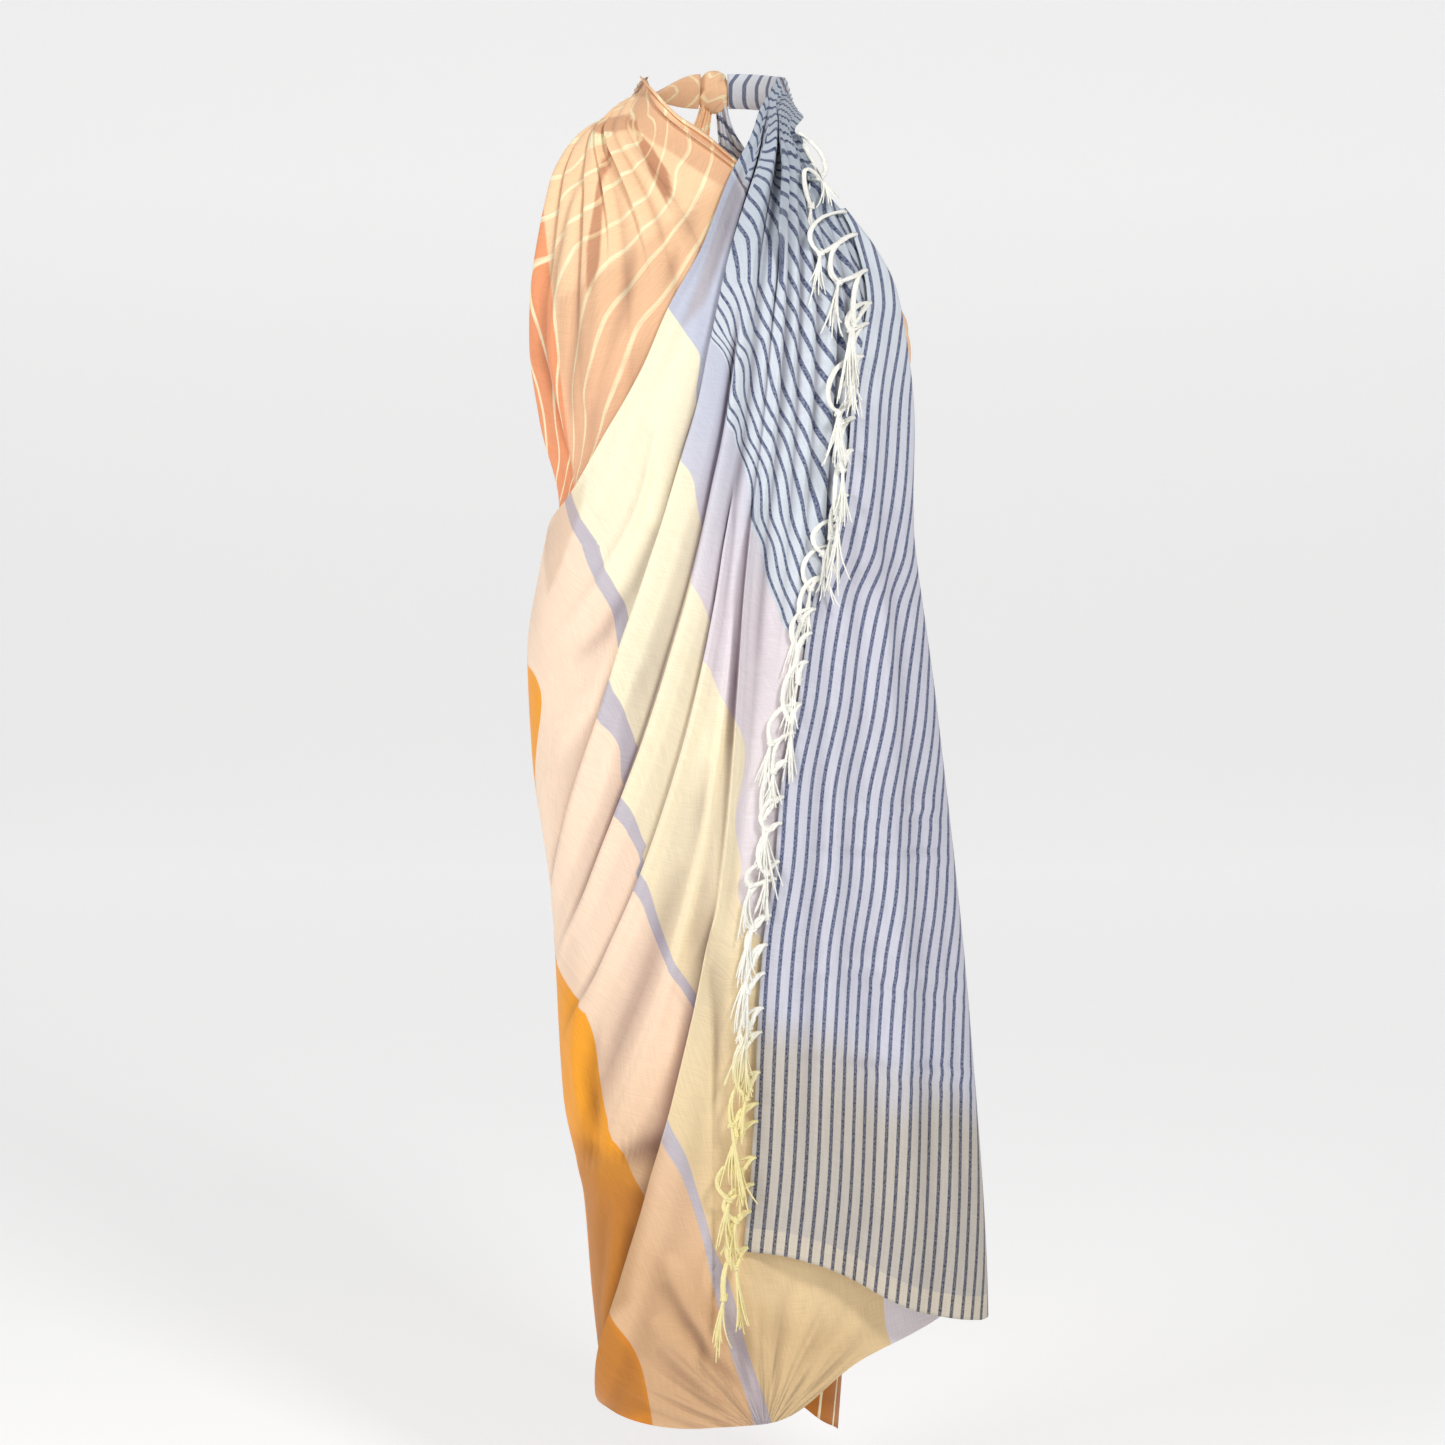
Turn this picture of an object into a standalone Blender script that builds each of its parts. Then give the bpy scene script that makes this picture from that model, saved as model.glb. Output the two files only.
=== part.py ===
# A sarong length worn as a halter dress: one long cloth, wrapped once and a half round the body.
# Its plain end crosses the chest to the left of the neck, the rest goes round the back and over
# the front to the right of the neck, and its striped end folds back over the front.
# Metres. The origin is the middle of the neck, +Z is up, the front faces -Y, and left and right
# are as seen from the front. "drop" is the distance below the origin, "angle" the turn from the
# front centre towards the right, and "lift" the distance of the cloth from the body's form.
import bpy
import numpy as np

clothWall = 0.0012
seamGap = 0.00035
fringeGap = 0.0008
innerLift = 0.004
outerLift = 0.014
neckLift = 0.005
sideAngle = 90.0
foldAngle = 62.0
outerRows = 25
innerRows = 20
backColumns = 12
capColumns = 6
returnColumns = 12
endWaves = 18.0
endWaveHeight = 0.0022
frontPleats = 8
chestPleats = 5
columnsPerPleat = 4
meanRadius = 0.15
sideTrim = 0.22
shortestRow = 0.008
seed = 7
# How far the turned cloth stands out past the end of the outer front, in turning radii.
turnReach = 1.6
# The pleated corners that go round the neck: grid, seam and end in degrees, heights and thickness.
neckRoll = {"columns": 10, "rows": 8, "trim": 0.55, "endAngle": 166.9, "napeTop": -0.028,
            "napeHeight": 0.034, "thin": 0.003, "thick": 0.010, "lift": 0.0035, "ridge": 0.0014}
knot = {"stations": 11, "sides": 18, "centre": (0.0, 0.0825, 0.011), "radii": (0.0175, 0.0165, 0.0205),
        "frontDepth": 0.0095, "lump": 0.05}
# The free corners below the knot: angles in degrees, the rest in metres.
tail = {"rows": 6, "columns": 4, "middle": 174.6, "lean": 9.0, "halfWidth": 4.2, "spread": 4.0,
        "top": 0.0098, "length": 0.075, "point": 0.006, "lift": 0.0085, "settle": 0.003,
        "ripple": 0.0012, "wall": 0.0022}
# Fringe strands: spacing, size, and the steepest turn from sideways to straight down, as a share.
strand = {"first": 0.004, "pitch": 0.017, "width": 0.003, "thickness": 0.0014, "shortest": 0.034,
          "longer": 0.012, "turn": 0.55, "moreTurn": 0.16}
stripWidth = 0.0040
shoulderFringe = {"start": 0.046, "end": 0.104, "turn": 0.3}


def table(columns, rows):
    """The rows as one array for each named column."""
    return dict(zip(columns.split(), np.array(rows, float).T))


# The general figure under the cloth: half widths to the left and right, depths to front and back.
form = table("drop left right front back", [
    (-0.020, 0.062, 0.062, 0.056, 0.068),
    (0.000, 0.070, 0.066, 0.058, 0.072),
    (0.020, 0.092, 0.078, 0.062, 0.076),
    (0.040, 0.122, 0.100, 0.067, 0.080),
    (0.060, 0.140, 0.128, 0.073, 0.084),
    (0.090, 0.154, 0.153, 0.085, 0.092),
    (0.150, 0.164, 0.176, 0.106, 0.106),
    (0.200, 0.170, 0.186, 0.120, 0.112),
    (0.250, 0.172, 0.188, 0.126, 0.114),
    (0.320, 0.165, 0.187, 0.119, 0.112),
    (0.400, 0.148, 0.184, 0.106, 0.108),
    (0.460, 0.158, 0.184, 0.106, 0.118),
    (0.550, 0.172, 0.184, 0.114, 0.134),
    (0.650, 0.168, 0.178, 0.116, 0.140),
    (0.800, 0.149, 0.166, 0.112, 0.128),
    (1.000, 0.138, 0.150, 0.106, 0.116),
    (1.100, 0.118, 0.140, 0.103, 0.110),
    (1.200, 0.110, 0.132, 0.098, 0.106),
    (1.345, 0.094, 0.122, 0.090, 0.100),
])
# The fold at the right: how far out it reaches, and the radius at which the cloth turns back.
foldLine = table("drop reach radius", [
    (-0.020, 0.058, 0.002),
    (0.000, 0.063, 0.002),
    (0.035, 0.088, 0.002),
    (0.110, 0.131, 0.003),
    (0.190, 0.176, 0.005),
    (0.300, 0.184, 0.009),
    (0.400, 0.190, 0.011),
    (0.600, 0.216, 0.013),
    (0.900, 0.250, 0.018),
    (1.200, 0.272, 0.023),
    (1.345, 0.275, 0.024),
])
# The striped end's fringed edge, with its distance in front of the outer front, and its hem.
endEdge = table("drop angle gap", [
    (0.118, 41.5, 0.008),
    (0.140, 44, 0.012),
    (0.206, 46, 0.012),
    (0.234, 44, 0.012),
    (0.302, 40, 0.012),
    (0.368, 39, 0.012),
    (0.434, 35, 0.012),
    (0.480, 28, 0.011),
    (0.530, 24, 0.011),
    (0.584, 21, 0.011),
    (0.664, 16, 0.012),
    (0.742, 14, 0.013),
    (0.820, 11, 0.014),
    (0.900, 9.5, 0.014),
    (1.030, 8, 0.013),
    (1.130, 6, 0.012),
])
endHem = table("angle drop", [
    (6, 1.126), (15, 1.131), (22, 1.140), (28, 1.152), (38, 1.177), (45, 1.190), (56, 1.201), (62, 1.205),
])
# The run of the cloth from the neck outwards, a row of (angle, drop) for each guide line, with
# the number of grid columns up to the next guide. The outer front has its top selvedge first.
outerGuides = [
    ("selvedge", 5, [(66, -0.014), (47, 0.004), (26, 0.028), (7, 0.080), (-4, 0.160), (-13, 0.212),
                     (-22, 0.274), (-41, 0.348), (-64, 0.398), (-90, 0.426)]),
    ("long fold", 4, [(68, -0.010), (45, 0.012), (20, 0.058), (6, 0.150), (0, 0.236), (-4, 0.296),
                      (-15, 0.390), (-30, 0.542), (-46, 0.648), (-68, 0.732), (-90, 0.775)]),
    ("waist swag", 5, [(71, -0.005), (44, 0.017), (24, 0.060), (12, 0.170), (8, 0.302), (4, 0.400),
                       (-2, 0.510), (-16, 0.664), (-43, 0.814), (-78, 0.906), (-90, 0.930)]),
    ("thigh fold", 8, [(74, 0.000), (43, 0.022), (27, 0.060), (17, 0.208), (13, 0.348), (8, 0.492),
                       (1, 0.780), (-13, 0.978), (-29, 1.096), (-50, 1.204), (-79, 1.300), (-90, 1.312)]),
    ("left hem", 8, [(76, 0.005), (43, 0.027), (30, 0.060), (24, 0.208), (22, 0.396), (15, 0.588),
                     (10, 0.780), (4, 1.026), (-6, 1.178), (-34, 1.312)]),
    ("middle hem", 8, [(79, 0.010), (42, 0.032), (32, 0.064), (34, 0.206), (32, 0.396), (29, 0.588),
                       (25, 0.782), (20, 1.028), (15, 1.178), (10, 1.306)]),
    ("right hem", 5, [(82, 0.015), (41, 0.038), (36, 0.068), (45, 0.206), (50, 0.396), (46, 0.590),
                      (43, 0.786), (40, 0.984), (37, 1.134), (34, 1.243)]),
    ("fold", 0, [(84, 0.020), (46, 0.038), (38, 0.052), (36, 0.090), (43, 0.120), (52, 0.160),
                 (57, 0.196), (60, 0.260), (62, 0.320), (62, 0.700), (62, 1.205)]),
]
# The inner front has its cut end first and its top selvedge, the neckline, last.
innerGuides = [
    ("cut end", 5, [(-84, 0.020), (-82, 0.035), (-82, 0.055), (-86, 0.080), (-94, 0.130), (-102, 0.190),
                    (-106, 0.260), (-106, 0.600), (-106, 1.160)]),
    ("side", 5, [(-82, 0.016), (-74, 0.034), (-66, 0.060), (-63, 0.100), (-65, 0.170), (-68, 0.280),
                 (-66, 0.420), (-64, 0.600), (-60, 0.900), (-60, 1.185)]),
    ("left bust", 6, [(-79, 0.011), (-66, 0.030), (-53, 0.055), (-45, 0.095), (-42, 0.160), (-42, 0.260),
                      (-40, 0.420), (-34, 0.650), (-28, 0.900), (-24, 1.215)]),
    ("centre", 5, [(-77, 0.006), (-60, 0.026), (-45, 0.048), (-32, 0.080), (-22, 0.130), (-15, 0.200),
                   (-10, 0.290), (-6, 0.440), (0, 0.660), (8, 0.920), (14, 1.250)]),
    ("right bust", 3, [(-75, 0.001), (-56, 0.021), (-40, 0.042), (-25, 0.072), (-12, 0.115), (-2, 0.170),
                       (9, 0.240), (21, 0.340), (34, 0.500), (46, 0.720), (58, 1.000), (66, 1.300)]),
    ("right hem", 4, [(-72, -0.003), (-52, 0.017), (-36, 0.038), (-20, 0.066), (-6, 0.104), (8, 0.155),
                      (24, 0.240), (42, 0.370), (58, 0.540), (72, 0.780), (84, 1.080), (90, 1.345)]),
    ("right hip", 4, [(-70, -0.007), (-49, 0.013), (-33, 0.032), (-17, 0.056), (-2, 0.086), (14, 0.132),
                      (32, 0.200), (52, 0.310), (70, 0.460), (84, 0.660), (90, 0.800)]),
    ("right waist", 6, [(-68, -0.011), (-46, 0.008), (-29, 0.025), (-13, 0.044), (3, 0.072), (20, 0.114),
                        (40, 0.176), (62, 0.260), (80, 0.360), (90, 0.440)]),
    ("neckline", 0, [(-66, -0.014), (-45, 0.002), (-32, 0.013), (-18, 0.028), (-6, 0.042), (8, 0.070),
                     (29, 0.122), (45, 0.164), (61, 0.194), (76, 0.216), (90, 0.234)]),
]
# The large folds that lie along the grid's columns. "left" and "right" are the widths of a
# fold's two flanks, and it stands highest between the drops "start" and "end".
outerFolds = table("column height left right start end", [
    (0.6, 0.0020, 0.006, 0.010, 0.03, 0.40),
    (2.4, 0.0045, 0.008, 0.014, 0.37, 0.46),
    (5.6, 0.0100, 0.007, 0.030, 0.12, 0.70),
    (7.8, 0.0070, 0.010, 0.022, 0.38, 0.80),
    (9.6, 0.0070, 0.010, 0.026, 0.44, 0.90),
    (11.6, 0.0040, 0.018, 0.022, 0.55, 1.05),
    (14.6, 0.0085, 0.006, 0.045, 0.78, 1.30),
    (19.0, 0.0040, 0.025, 0.025, 0.45, 0.95),
    (26.0, 0.0035, 0.022, 0.022, 0.55, 1.20),
    (33.0, 0.0030, 0.022, 0.022, 0.60, 1.25),
])
innerFolds = table("column height left right start end", [
    (36.6, 0.0050, 0.007, 0.007, -0.02, 0.075),
    (34.2, 0.0030, 0.006, 0.006, -0.01, 0.060),
    (3.0, 0.0030, 0.010, 0.014, 0.06, 0.40),
    (7.0, 0.0030, 0.012, 0.012, 0.10, 0.38),
    (12.0, 0.0025, 0.010, 0.016, 0.05, 0.22),
])
# Swags on the back, as shares of the way down from its top edge.
backFolds = table("down height width", [
    (0.09, 0.0050, 0.026),
    (0.22, 0.0085, 0.036),
    (0.37, 0.0075, 0.036),
    (0.54, 0.0060, 0.042),
    (0.73, 0.0045, 0.046),
])
pleatShares = np.array([1.0, 0.7, 1.1, 0.8, 1.0, 0.6, 0.9, 0.75])
colours = {
    "peach": (0.80, 0.44, 0.28),
    "saffron": (0.76, 0.30, 0.05),
    "cream": (0.91, 0.74, 0.50),
    "striped blue": (0.56, 0.58, 0.66),
    "white": (0.93, 0.91, 0.82),
}


def smooth(at, knots, values):
    """Monotone cubic through the knots: no overshoot, and flat between equal values."""
    knots = np.asarray(knots, float)
    values = np.asarray(values, float)
    shape = (-1,) + (1,) * (values.ndim - 1)
    steps = np.diff(knots).reshape(shape)
    slopes = np.diff(values, axis=0) / steps
    before, after = slopes[:-1], slopes[1:]
    agree = before * after > 0
    total = np.where(agree, before + after, 1.0)
    tangents = np.concatenate([slopes[:1], np.where(agree, 2 * before * after / total, 0.0), slopes[-1:]])
    at = np.clip(at, knots[0], knots[-1])
    low = np.clip(np.searchsorted(knots, at, side="right") - 1, 0, len(knots) - 2)
    wide = at.shape + (1,) * (values.ndim - 1)
    step = (knots[low + 1] - knots[low]).reshape(wide)
    part = ((at - knots[low]) / (knots[low + 1] - knots[low])).reshape(wide)
    square, cube = part ** 2, part ** 3
    return ((2 * cube - 3 * square + 1) * values[low] + (cube - 2 * square + part) * step * tangents[low]
            + (3 * square - 2 * cube) * values[low + 1] + (cube - square) * step * tangents[low + 1])


def ease(value, start, end):
    """0 before start, 1 after end, smooth between."""
    share = np.clip((value - start) / (end - start), 0, 1)
    return share * share * (3 - 2 * share)


def foldReach(drop):
    """Where the outer front ends, so that the turned cloth's outermost line is at its reach."""
    radius = smooth(drop, foldLine["drop"], foldLine["radius"])
    return smooth(drop, foldLine["drop"], foldLine["reach"]) - turnReach * radius


def halfSizes(angle, drop, lift, outer):
    """Half width and depth of the level's ellipse at this angle; the outer front flares to its fold."""
    left = smooth(drop, form["drop"], form["left"]) + lift
    right = smooth(drop, form["drop"], form["right"]) + lift
    if outer:
        flare = foldReach(drop) / np.sin(np.radians(foldAngle))
        right = np.maximum(right, flare)
    front = smooth(drop, form["drop"], form["front"]) + lift
    back = smooth(drop, form["drop"], form["back"]) + lift
    return np.where(np.sin(angle) < 0, left, right), np.where(np.cos(angle) > 0, front, back)


def surface(angle, drop, lift, relief, outer=False):
    """The cloth's points, and its level outward directions. Relief is measured along these."""
    wide, deep = halfSizes(angle, drop, lift, outer)
    points = np.stack([wide * np.sin(angle), -deep * np.cos(angle), -drop], -1)
    out = np.stack([deep * np.sin(angle), -wide * np.cos(angle), np.zeros_like(drop)], -1)
    out /= np.linalg.norm(out, axis=-1, keepdims=True)
    return points + out * relief[..., None], out


def guideGrid(guides, rows, crowding=1.35):
    """Angles and drops on a grid, rows running out from the neck and columns along the guides."""
    share = np.linspace(0, 1, rows + 1) ** crowding
    lines = []
    for _, _, stations in guides:
        stations = np.array(stations, float)
        steps = np.hypot(np.diff(np.radians(stations[:, 0])) * meanRadius, np.diff(stations[:, 1]))
        length = np.concatenate([[0], np.cumsum(steps)])
        lines.append(smooth(share, length / length[-1], stations))
    columns = np.concatenate([[0], np.cumsum([count for _, count, _ in guides[:-1]])])
    grid = smooth(np.arange(columns[-1] + 1.0), columns, np.array(lines))
    grid = grid.transpose(1, 0, 2)
    return np.radians(grid[..., 0]), grid[..., 1]


def columnSpacing(points):
    """The distance between neighbouring columns at each point of a grid."""
    return np.linalg.norm(np.gradient(points, axis=1), axis=-1)


def foldRelief(folds, points, drop):
    """Height of the large folds, each with its own two flanks."""
    column = np.arange(points.shape[1])[None, :]
    spacing = columnSpacing(points)
    relief = np.zeros(points.shape[:2])
    for at, height, left, right, start, end in zip(*folds.values()):
        away = (column - at) * spacing
        flank = np.where(away < 0, left, right)
        reach = ease(drop, start - 0.10, start) * (1 - ease(drop, end - 0.05, end + 0.12))
        relief += height * reach * np.exp(-(away / flank) ** 2)
    return relief


def pleatRelief(points, drop, first, count, fadeStart, fadeEnd):
    """Pleats fanning out from the neck, four columns each, never higher than their pitch allows."""
    column = np.arange(points.shape[1])[None, :] - first
    pitch = columnSpacing(points) * columnsPerPleat
    inside = (column > 0) & (column < count * columnsPerPleat)
    which = np.clip(column // columnsPerPleat, 0, count - 1)
    height = np.minimum(0.24 * pitch, 0.0052) * pleatShares[which % len(pleatShares)]
    wave = 0.5 - 0.5 * np.cos(2 * np.pi * column / columnsPerPleat)
    return np.where(inside, height * wave * (1 - ease(drop, fadeStart, fadeEnd)), 0)


def liftFromNeck(drop, full):
    """The cloth lies close round the neck, and further out where layers cross."""
    return neckLift + (full - neckLift) * ease(drop, 0.0, 0.05)


def outerFront():
    angle, drop = guideGrid(outerGuides, outerRows)
    lift = liftFromNeck(drop, outerLift)
    flat, _ = surface(angle, drop, lift, np.zeros_like(drop), outer=True)
    relief = foldRelief(outerFolds, flat, drop)
    relief += pleatRelief(flat, drop, 6, frontPleats, 0.16, 0.62)
    relief *= ease(drop, -0.01, 0.06) * 0.9 + 0.1
    points, _ = surface(angle, drop, lift, relief, outer=True)
    return points, angle, drop, relief


def innerFront():
    angle, drop = guideGrid(innerGuides, innerRows)
    lift = liftFromNeck(drop, innerLift)
    flat, _ = surface(angle, drop, lift, np.zeros_like(drop))
    relief = foldRelief(innerFolds, flat, drop)
    relief += pleatRelief(flat, drop, 1, chestPleats, 0.14, 0.34)
    points, _ = surface(angle, drop, lift, relief)
    return points, angle, drop, relief


def backWrap(innerDrop, innerRelief, outerDrop, outerRelief):
    """From the inner front's right side round the back to the outer front's left side."""
    rows = len(innerDrop)
    across = np.linspace(0, 1, backColumns + 1)[None, :]
    trim = np.radians(sideTrim)
    angle = np.radians(sideAngle) + trim + across * (np.pi - 2 * trim) + np.zeros((rows, 1))
    drop = innerDrop[:, None] * (1 - across) + outerDrop[:, None] * across
    lift = innerLift + (outerLift - innerLift) * across + np.zeros((rows, 1))
    relief = innerRelief[:, None] * (1 - ease(across, 0, 0.3)) + outerRelief[:, None] * ease(across, 0.5, 1)
    depth = drop - drop[:1]
    full = drop[-1:] - drop[:1]
    for down, height, width in zip(*backFolds.values()):
        away = depth - full * (down + 0.05 * np.sin(3 * across))
        relief = relief + height * np.sin(np.pi * across) * np.exp(-(away / width) ** 2)
    points, _ = surface(angle, drop, lift, relief)
    return points


def stripedEnd(outer, angle, drop):
    """From the outer front's fold round a half turn, then back over the front to the fringed edge."""
    top = endEdge["drop"][0]
    rows = np.concatenate([[top], drop[drop > top + shortestRow]])
    start = np.stack([np.interp(rows, drop, outer[:, k]) for k in range(3)], -1)
    angle = np.interp(rows, drop, angle)
    _, out = surface(angle, rows, outerLift + 0 * rows, 0 * rows, outer=True)
    along = np.stack([-out[:, 1], out[:, 0], 0 * rows], -1)
    radius = smooth(rows, foldLine["drop"], foldLine["radius"])
    turn = np.linspace(0, np.pi, capColumns + 1)[None, :] * np.ones((len(rows), 1))
    turn[:, 0] = 2.2 * seamGap / radius
    cap = (start[:, None] + (radius[:, None] * (1 - np.cos(turn)))[..., None] * out[:, None]
           + (radius[:, None] * np.sin(turn))[..., None] * along[:, None])
    share = np.linspace(0, 1, returnColumns + 1)[None, 1:]
    down = ((rows - top) / (rows[-1] - top))[:, None]
    edge = np.radians(smooth(rows, endEdge["drop"], endEdge["angle"]))[:, None]
    hem = smooth(np.degrees(angle[:, None] * (1 - share) + edge * share), endHem["angle"], endHem["drop"])
    hung = top + down * (hem - top)
    edge = np.radians(smooth(hung[:, -1], endEdge["drop"], endEdge["angle"]))[:, None]
    back = angle[:, None] * (1 - share) + edge * share
    edgeGap = smooth(hung[:, -1], endEdge["drop"], endEdge["gap"])[:, None]
    gap = 2 * radius[:, None] * (1 - ease(share, 0, 1)) + edgeGap * ease(share, 0, 1)
    wave = np.sin(endWaves * back + 1.5 * hung) * ease(share, 0, 0.3) * ease(hung, 0.2, 0.6)
    points, _ = surface(back, hung, outerLift + 0 * back, gap + endWaveHeight * wave, outer=True)
    return np.concatenate([cap, points], axis=1)


def gridNormals(points, side):
    """Unit normals of a grid of points, on the given side."""
    normals = np.cross(np.gradient(points, axis=1), np.gradient(points, axis=0)) * side
    return normals / np.linalg.norm(normals, axis=-1, keepdims=True)


def gridFaces(rows, columns, points):
    """Triangles over a grid, each cell cut along its shorter diagonal."""
    index = np.arange(rows * columns).reshape(rows, columns)
    a, b, c, d = index[:-1, :-1], index[:-1, 1:], index[1:, 1:], index[1:, :-1]
    flat = points.reshape(-1, 3)
    short = np.linalg.norm(flat[a] - flat[c], axis=-1) <= np.linalg.norm(flat[b] - flat[d], axis=-1)
    first = np.where(short[..., None], np.stack([a, b, c], -1), np.stack([a, b, d], -1))
    second = np.where(short[..., None], np.stack([a, c, d], -1), np.stack([b, c, d], -1))
    return np.concatenate([first.reshape(-1, 3), second.reshape(-1, 3)])


def rimFaces(loop, count):
    """The band of faces between the two skins along their shared outline."""
    following = np.roll(loop, -1)
    return np.concatenate([
        np.stack([loop, following, following + count], -1),
        np.stack([loop, following + count, loop + count], -1),
    ])


def outline(rows, columns):
    index = np.arange(rows * columns).reshape(rows, columns)
    return np.concatenate([index[0, :-1], index[:-1, -1], index[-1, :0:-1], index[:0:-1, 0]])


def wallMesh(points, wall, side, raised=None):
    """A closed wall round a grid: outer skin, inner skin and the rim between them."""
    rows, columns = points.shape[:2]
    normals = gridNormals(points, side)
    half = (np.zeros((rows, columns)) + wall)[..., None] / 2
    extra = 0 if raised is None else raised[..., None]
    outer = points + normals * (half + extra)
    inner = points - normals * half
    faces = gridFaces(rows, columns, points)
    count = rows * columns
    rim = rimFaces(outline(rows, columns), count)
    if side > 0:
        rim = rim[:, ::-1]
    else:
        faces = faces[:, ::-1]
    vertices = np.concatenate([outer.reshape(-1, 3), inner.reshape(-1, 3)])
    return vertices, np.concatenate([faces, faces[:, ::-1] + count, rim]), outer, inner


def material(name, roughness=0.8):
    made = bpy.data.materials.new(name)
    made.use_nodes = True
    shader = made.node_tree.nodes["Principled BSDF"]
    shader.inputs["Base Color"].default_value = (*colours[name], 1)
    shader.inputs["Roughness"].default_value = roughness
    made.diffuse_color = (*colours[name], 1)
    return made


def addObject(name, vertices, faces, colour):
    mesh = bpy.data.meshes.new(name)
    mesh.from_pydata(vertices.tolist(), [], faces.tolist())
    mesh.validate()
    mesh.update()
    mesh.shade_smooth()
    mesh.materials.append(colour)
    piece = bpy.data.objects.new(name, mesh)
    bpy.context.scene.collection.objects.link(piece)
    return piece


def neckGather(topRow, mirror):
    """The pleated corner as it goes from the front round the neck to the knot at the nape."""
    topAngle, topDrop = topRow
    picks = np.linspace(0, 1, neckRoll["columns"] + 1)
    across = np.linspace(0, 1, len(topAngle))
    topAngle = np.interp(picks, across, topAngle) * mirror
    topDrop = np.interp(picks, across, topDrop)
    along = np.linspace(0, 1, neckRoll["rows"] + 1)[:, None]
    start = topAngle + np.radians(neckRoll["trim"])
    angle = start * (1 - along) + np.radians(neckRoll["endAngle"]) * along
    napeDrop = neckRoll["napeTop"] + neckRoll["napeHeight"] * picks
    drop = topDrop * (1 - ease(along, 0, 1)) + napeDrop * ease(along, 0, 1)
    thick = neckRoll["thin"] + (neckRoll["thick"] - neckRoll["thin"]) * ease(along, 0, 0.5)
    # The roll thins out towards its upper and lower edges.
    thick = thick * (0.55 + 0.45 * np.sin(np.pi * (0.08 + 0.84 * picks)))
    lift = neckRoll["lift"] + thick / 2
    points, _ = surface(angle * mirror, drop, lift, np.zeros_like(drop))
    ridge = neckRoll["ridge"]
    ridges = ridge + ridge * (1 - 2 * (np.arange(len(picks)) % 2)) * ease(along, 0.05, 0.4)
    return wallMesh(points, thick, mirror, ridges)


def napeKnot():
    """A rounded, slightly lumpy knot, flatter where it lies against the gathered corners."""
    sides = knot["sides"]
    centre = np.array(knot["centre"])
    radii = np.array(knot["radii"])
    height = np.linspace(0, np.pi, knot["stations"] + 1)[1:-1, None]
    turn = np.linspace(0, 2 * np.pi, sides, endpoint=False)[None, :]
    direction = np.stack([np.sin(height) * np.sin(turn), -np.sin(height) * np.cos(turn),
                          np.cos(height) + 0 * turn], -1)
    lumps = 1 + knot["lump"] * np.cos(3 * turn + 2 * height) * np.sin(height)
    size = np.where(direction < 0, [radii[0], knot["frontDepth"], radii[2]], radii)
    rings = centre + direction * size * lumps[..., None]
    vertices = np.concatenate([rings.reshape(-1, 3), [centre + (0, 0, radii[2])], [centre - (0, 0, radii[2])]])
    top, bottom = len(vertices) - 2, len(vertices) - 1
    index = np.arange(len(vertices) - 2).reshape(-1, sides)
    nextIndex = np.roll(index, -1, axis=1)
    a, b, c, d = index[:-1], nextIndex[:-1], nextIndex[1:], index[1:]
    faces = [np.stack([a, c, b], -1).reshape(-1, 3), np.stack([a, d, c], -1).reshape(-1, 3)]
    faces.append(np.stack([np.full(sides, top), index[0], nextIndex[0]], -1))
    faces.append(np.stack([np.full(sides, bottom), nextIndex[-1], index[-1]], -1))
    return vertices, np.concatenate(faces)


def knotTail(mirror):
    """A short free corner hanging from the knot, wider and more pointed lower down."""
    down = np.linspace(0, 1, tail["rows"] + 1)[:, None]
    across = np.linspace(-1, 1, tail["columns"] + 1)[None, :]
    middle = tail["middle"] - tail["lean"] * down
    half = tail["halfWidth"] + tail["spread"] * ease(down, 0, 0.8)
    angle = np.radians(middle + half * across) * mirror
    drop = tail["top"] + tail["length"] * down + tail["point"] * np.abs(across) * down
    lift = tail["lift"] - tail["settle"] * ease(down, 0, 0.6)
    relief = tail["ripple"] * np.cos(2 * np.pi * across) * ease(down, 0.1, 0.6)
    points, _ = surface(angle, drop, lift + 0 * angle, relief)
    return wallMesh(points, tail["wall"], -mirror)


def awayFromEdge(points):
    """Unit directions out of a grid's last column, square to that edge and along the cloth."""
    run = np.gradient(points[:, -1], axis=0)
    run /= np.linalg.norm(run, axis=-1, keepdims=True)
    away = points[:, -1] - points[:, -2]
    away = away - run * np.sum(away * run, axis=-1, keepdims=True)
    return away / np.linalg.norm(away, axis=-1, keepdims=True)


def stretch(values, drop, start, end):
    """The part of an edge between two drops, its ends lying on the edge's own straight chords."""
    drops = np.concatenate([[start], drop[(drop > start) & (drop < end)], [end]])
    return np.stack([np.interp(drops, drop, values[:, k]) for k in range(3)], -1)


def strandSections(root, side, length, steepest):
    """Two four-cornered sections of a strand, which starts along "side" and bends downwards."""
    downward = np.array([0.0, 0.0, -1.0])
    depth = root[3] - root[0]
    depth = depth / np.linalg.norm(depth)
    sections = []
    for share, taper in ((0.34, 0.9), (1.0, 0.6)):
        bend = steepest * ease(share, -0.1, 0.55)
        run = length * share
        across = -np.sin(bend) * side + np.cos(bend) * downward
        sideways = run * 0.8 * (1 - 0.6 * (bend / (np.pi / 2)) ** 1.2)
        fall = run * 0.9 * np.sin(bend)
        path = root.mean(axis=0) + side * sideways + downward * fall - depth * run * 0.08
        half = across * taper * strand["width"] / 2
        thick = depth * taper * strand["thickness"] / 2
        sections.append([path - half - thick, path + half - thick, path + half + thick, path - half + thick])
    return sections


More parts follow.
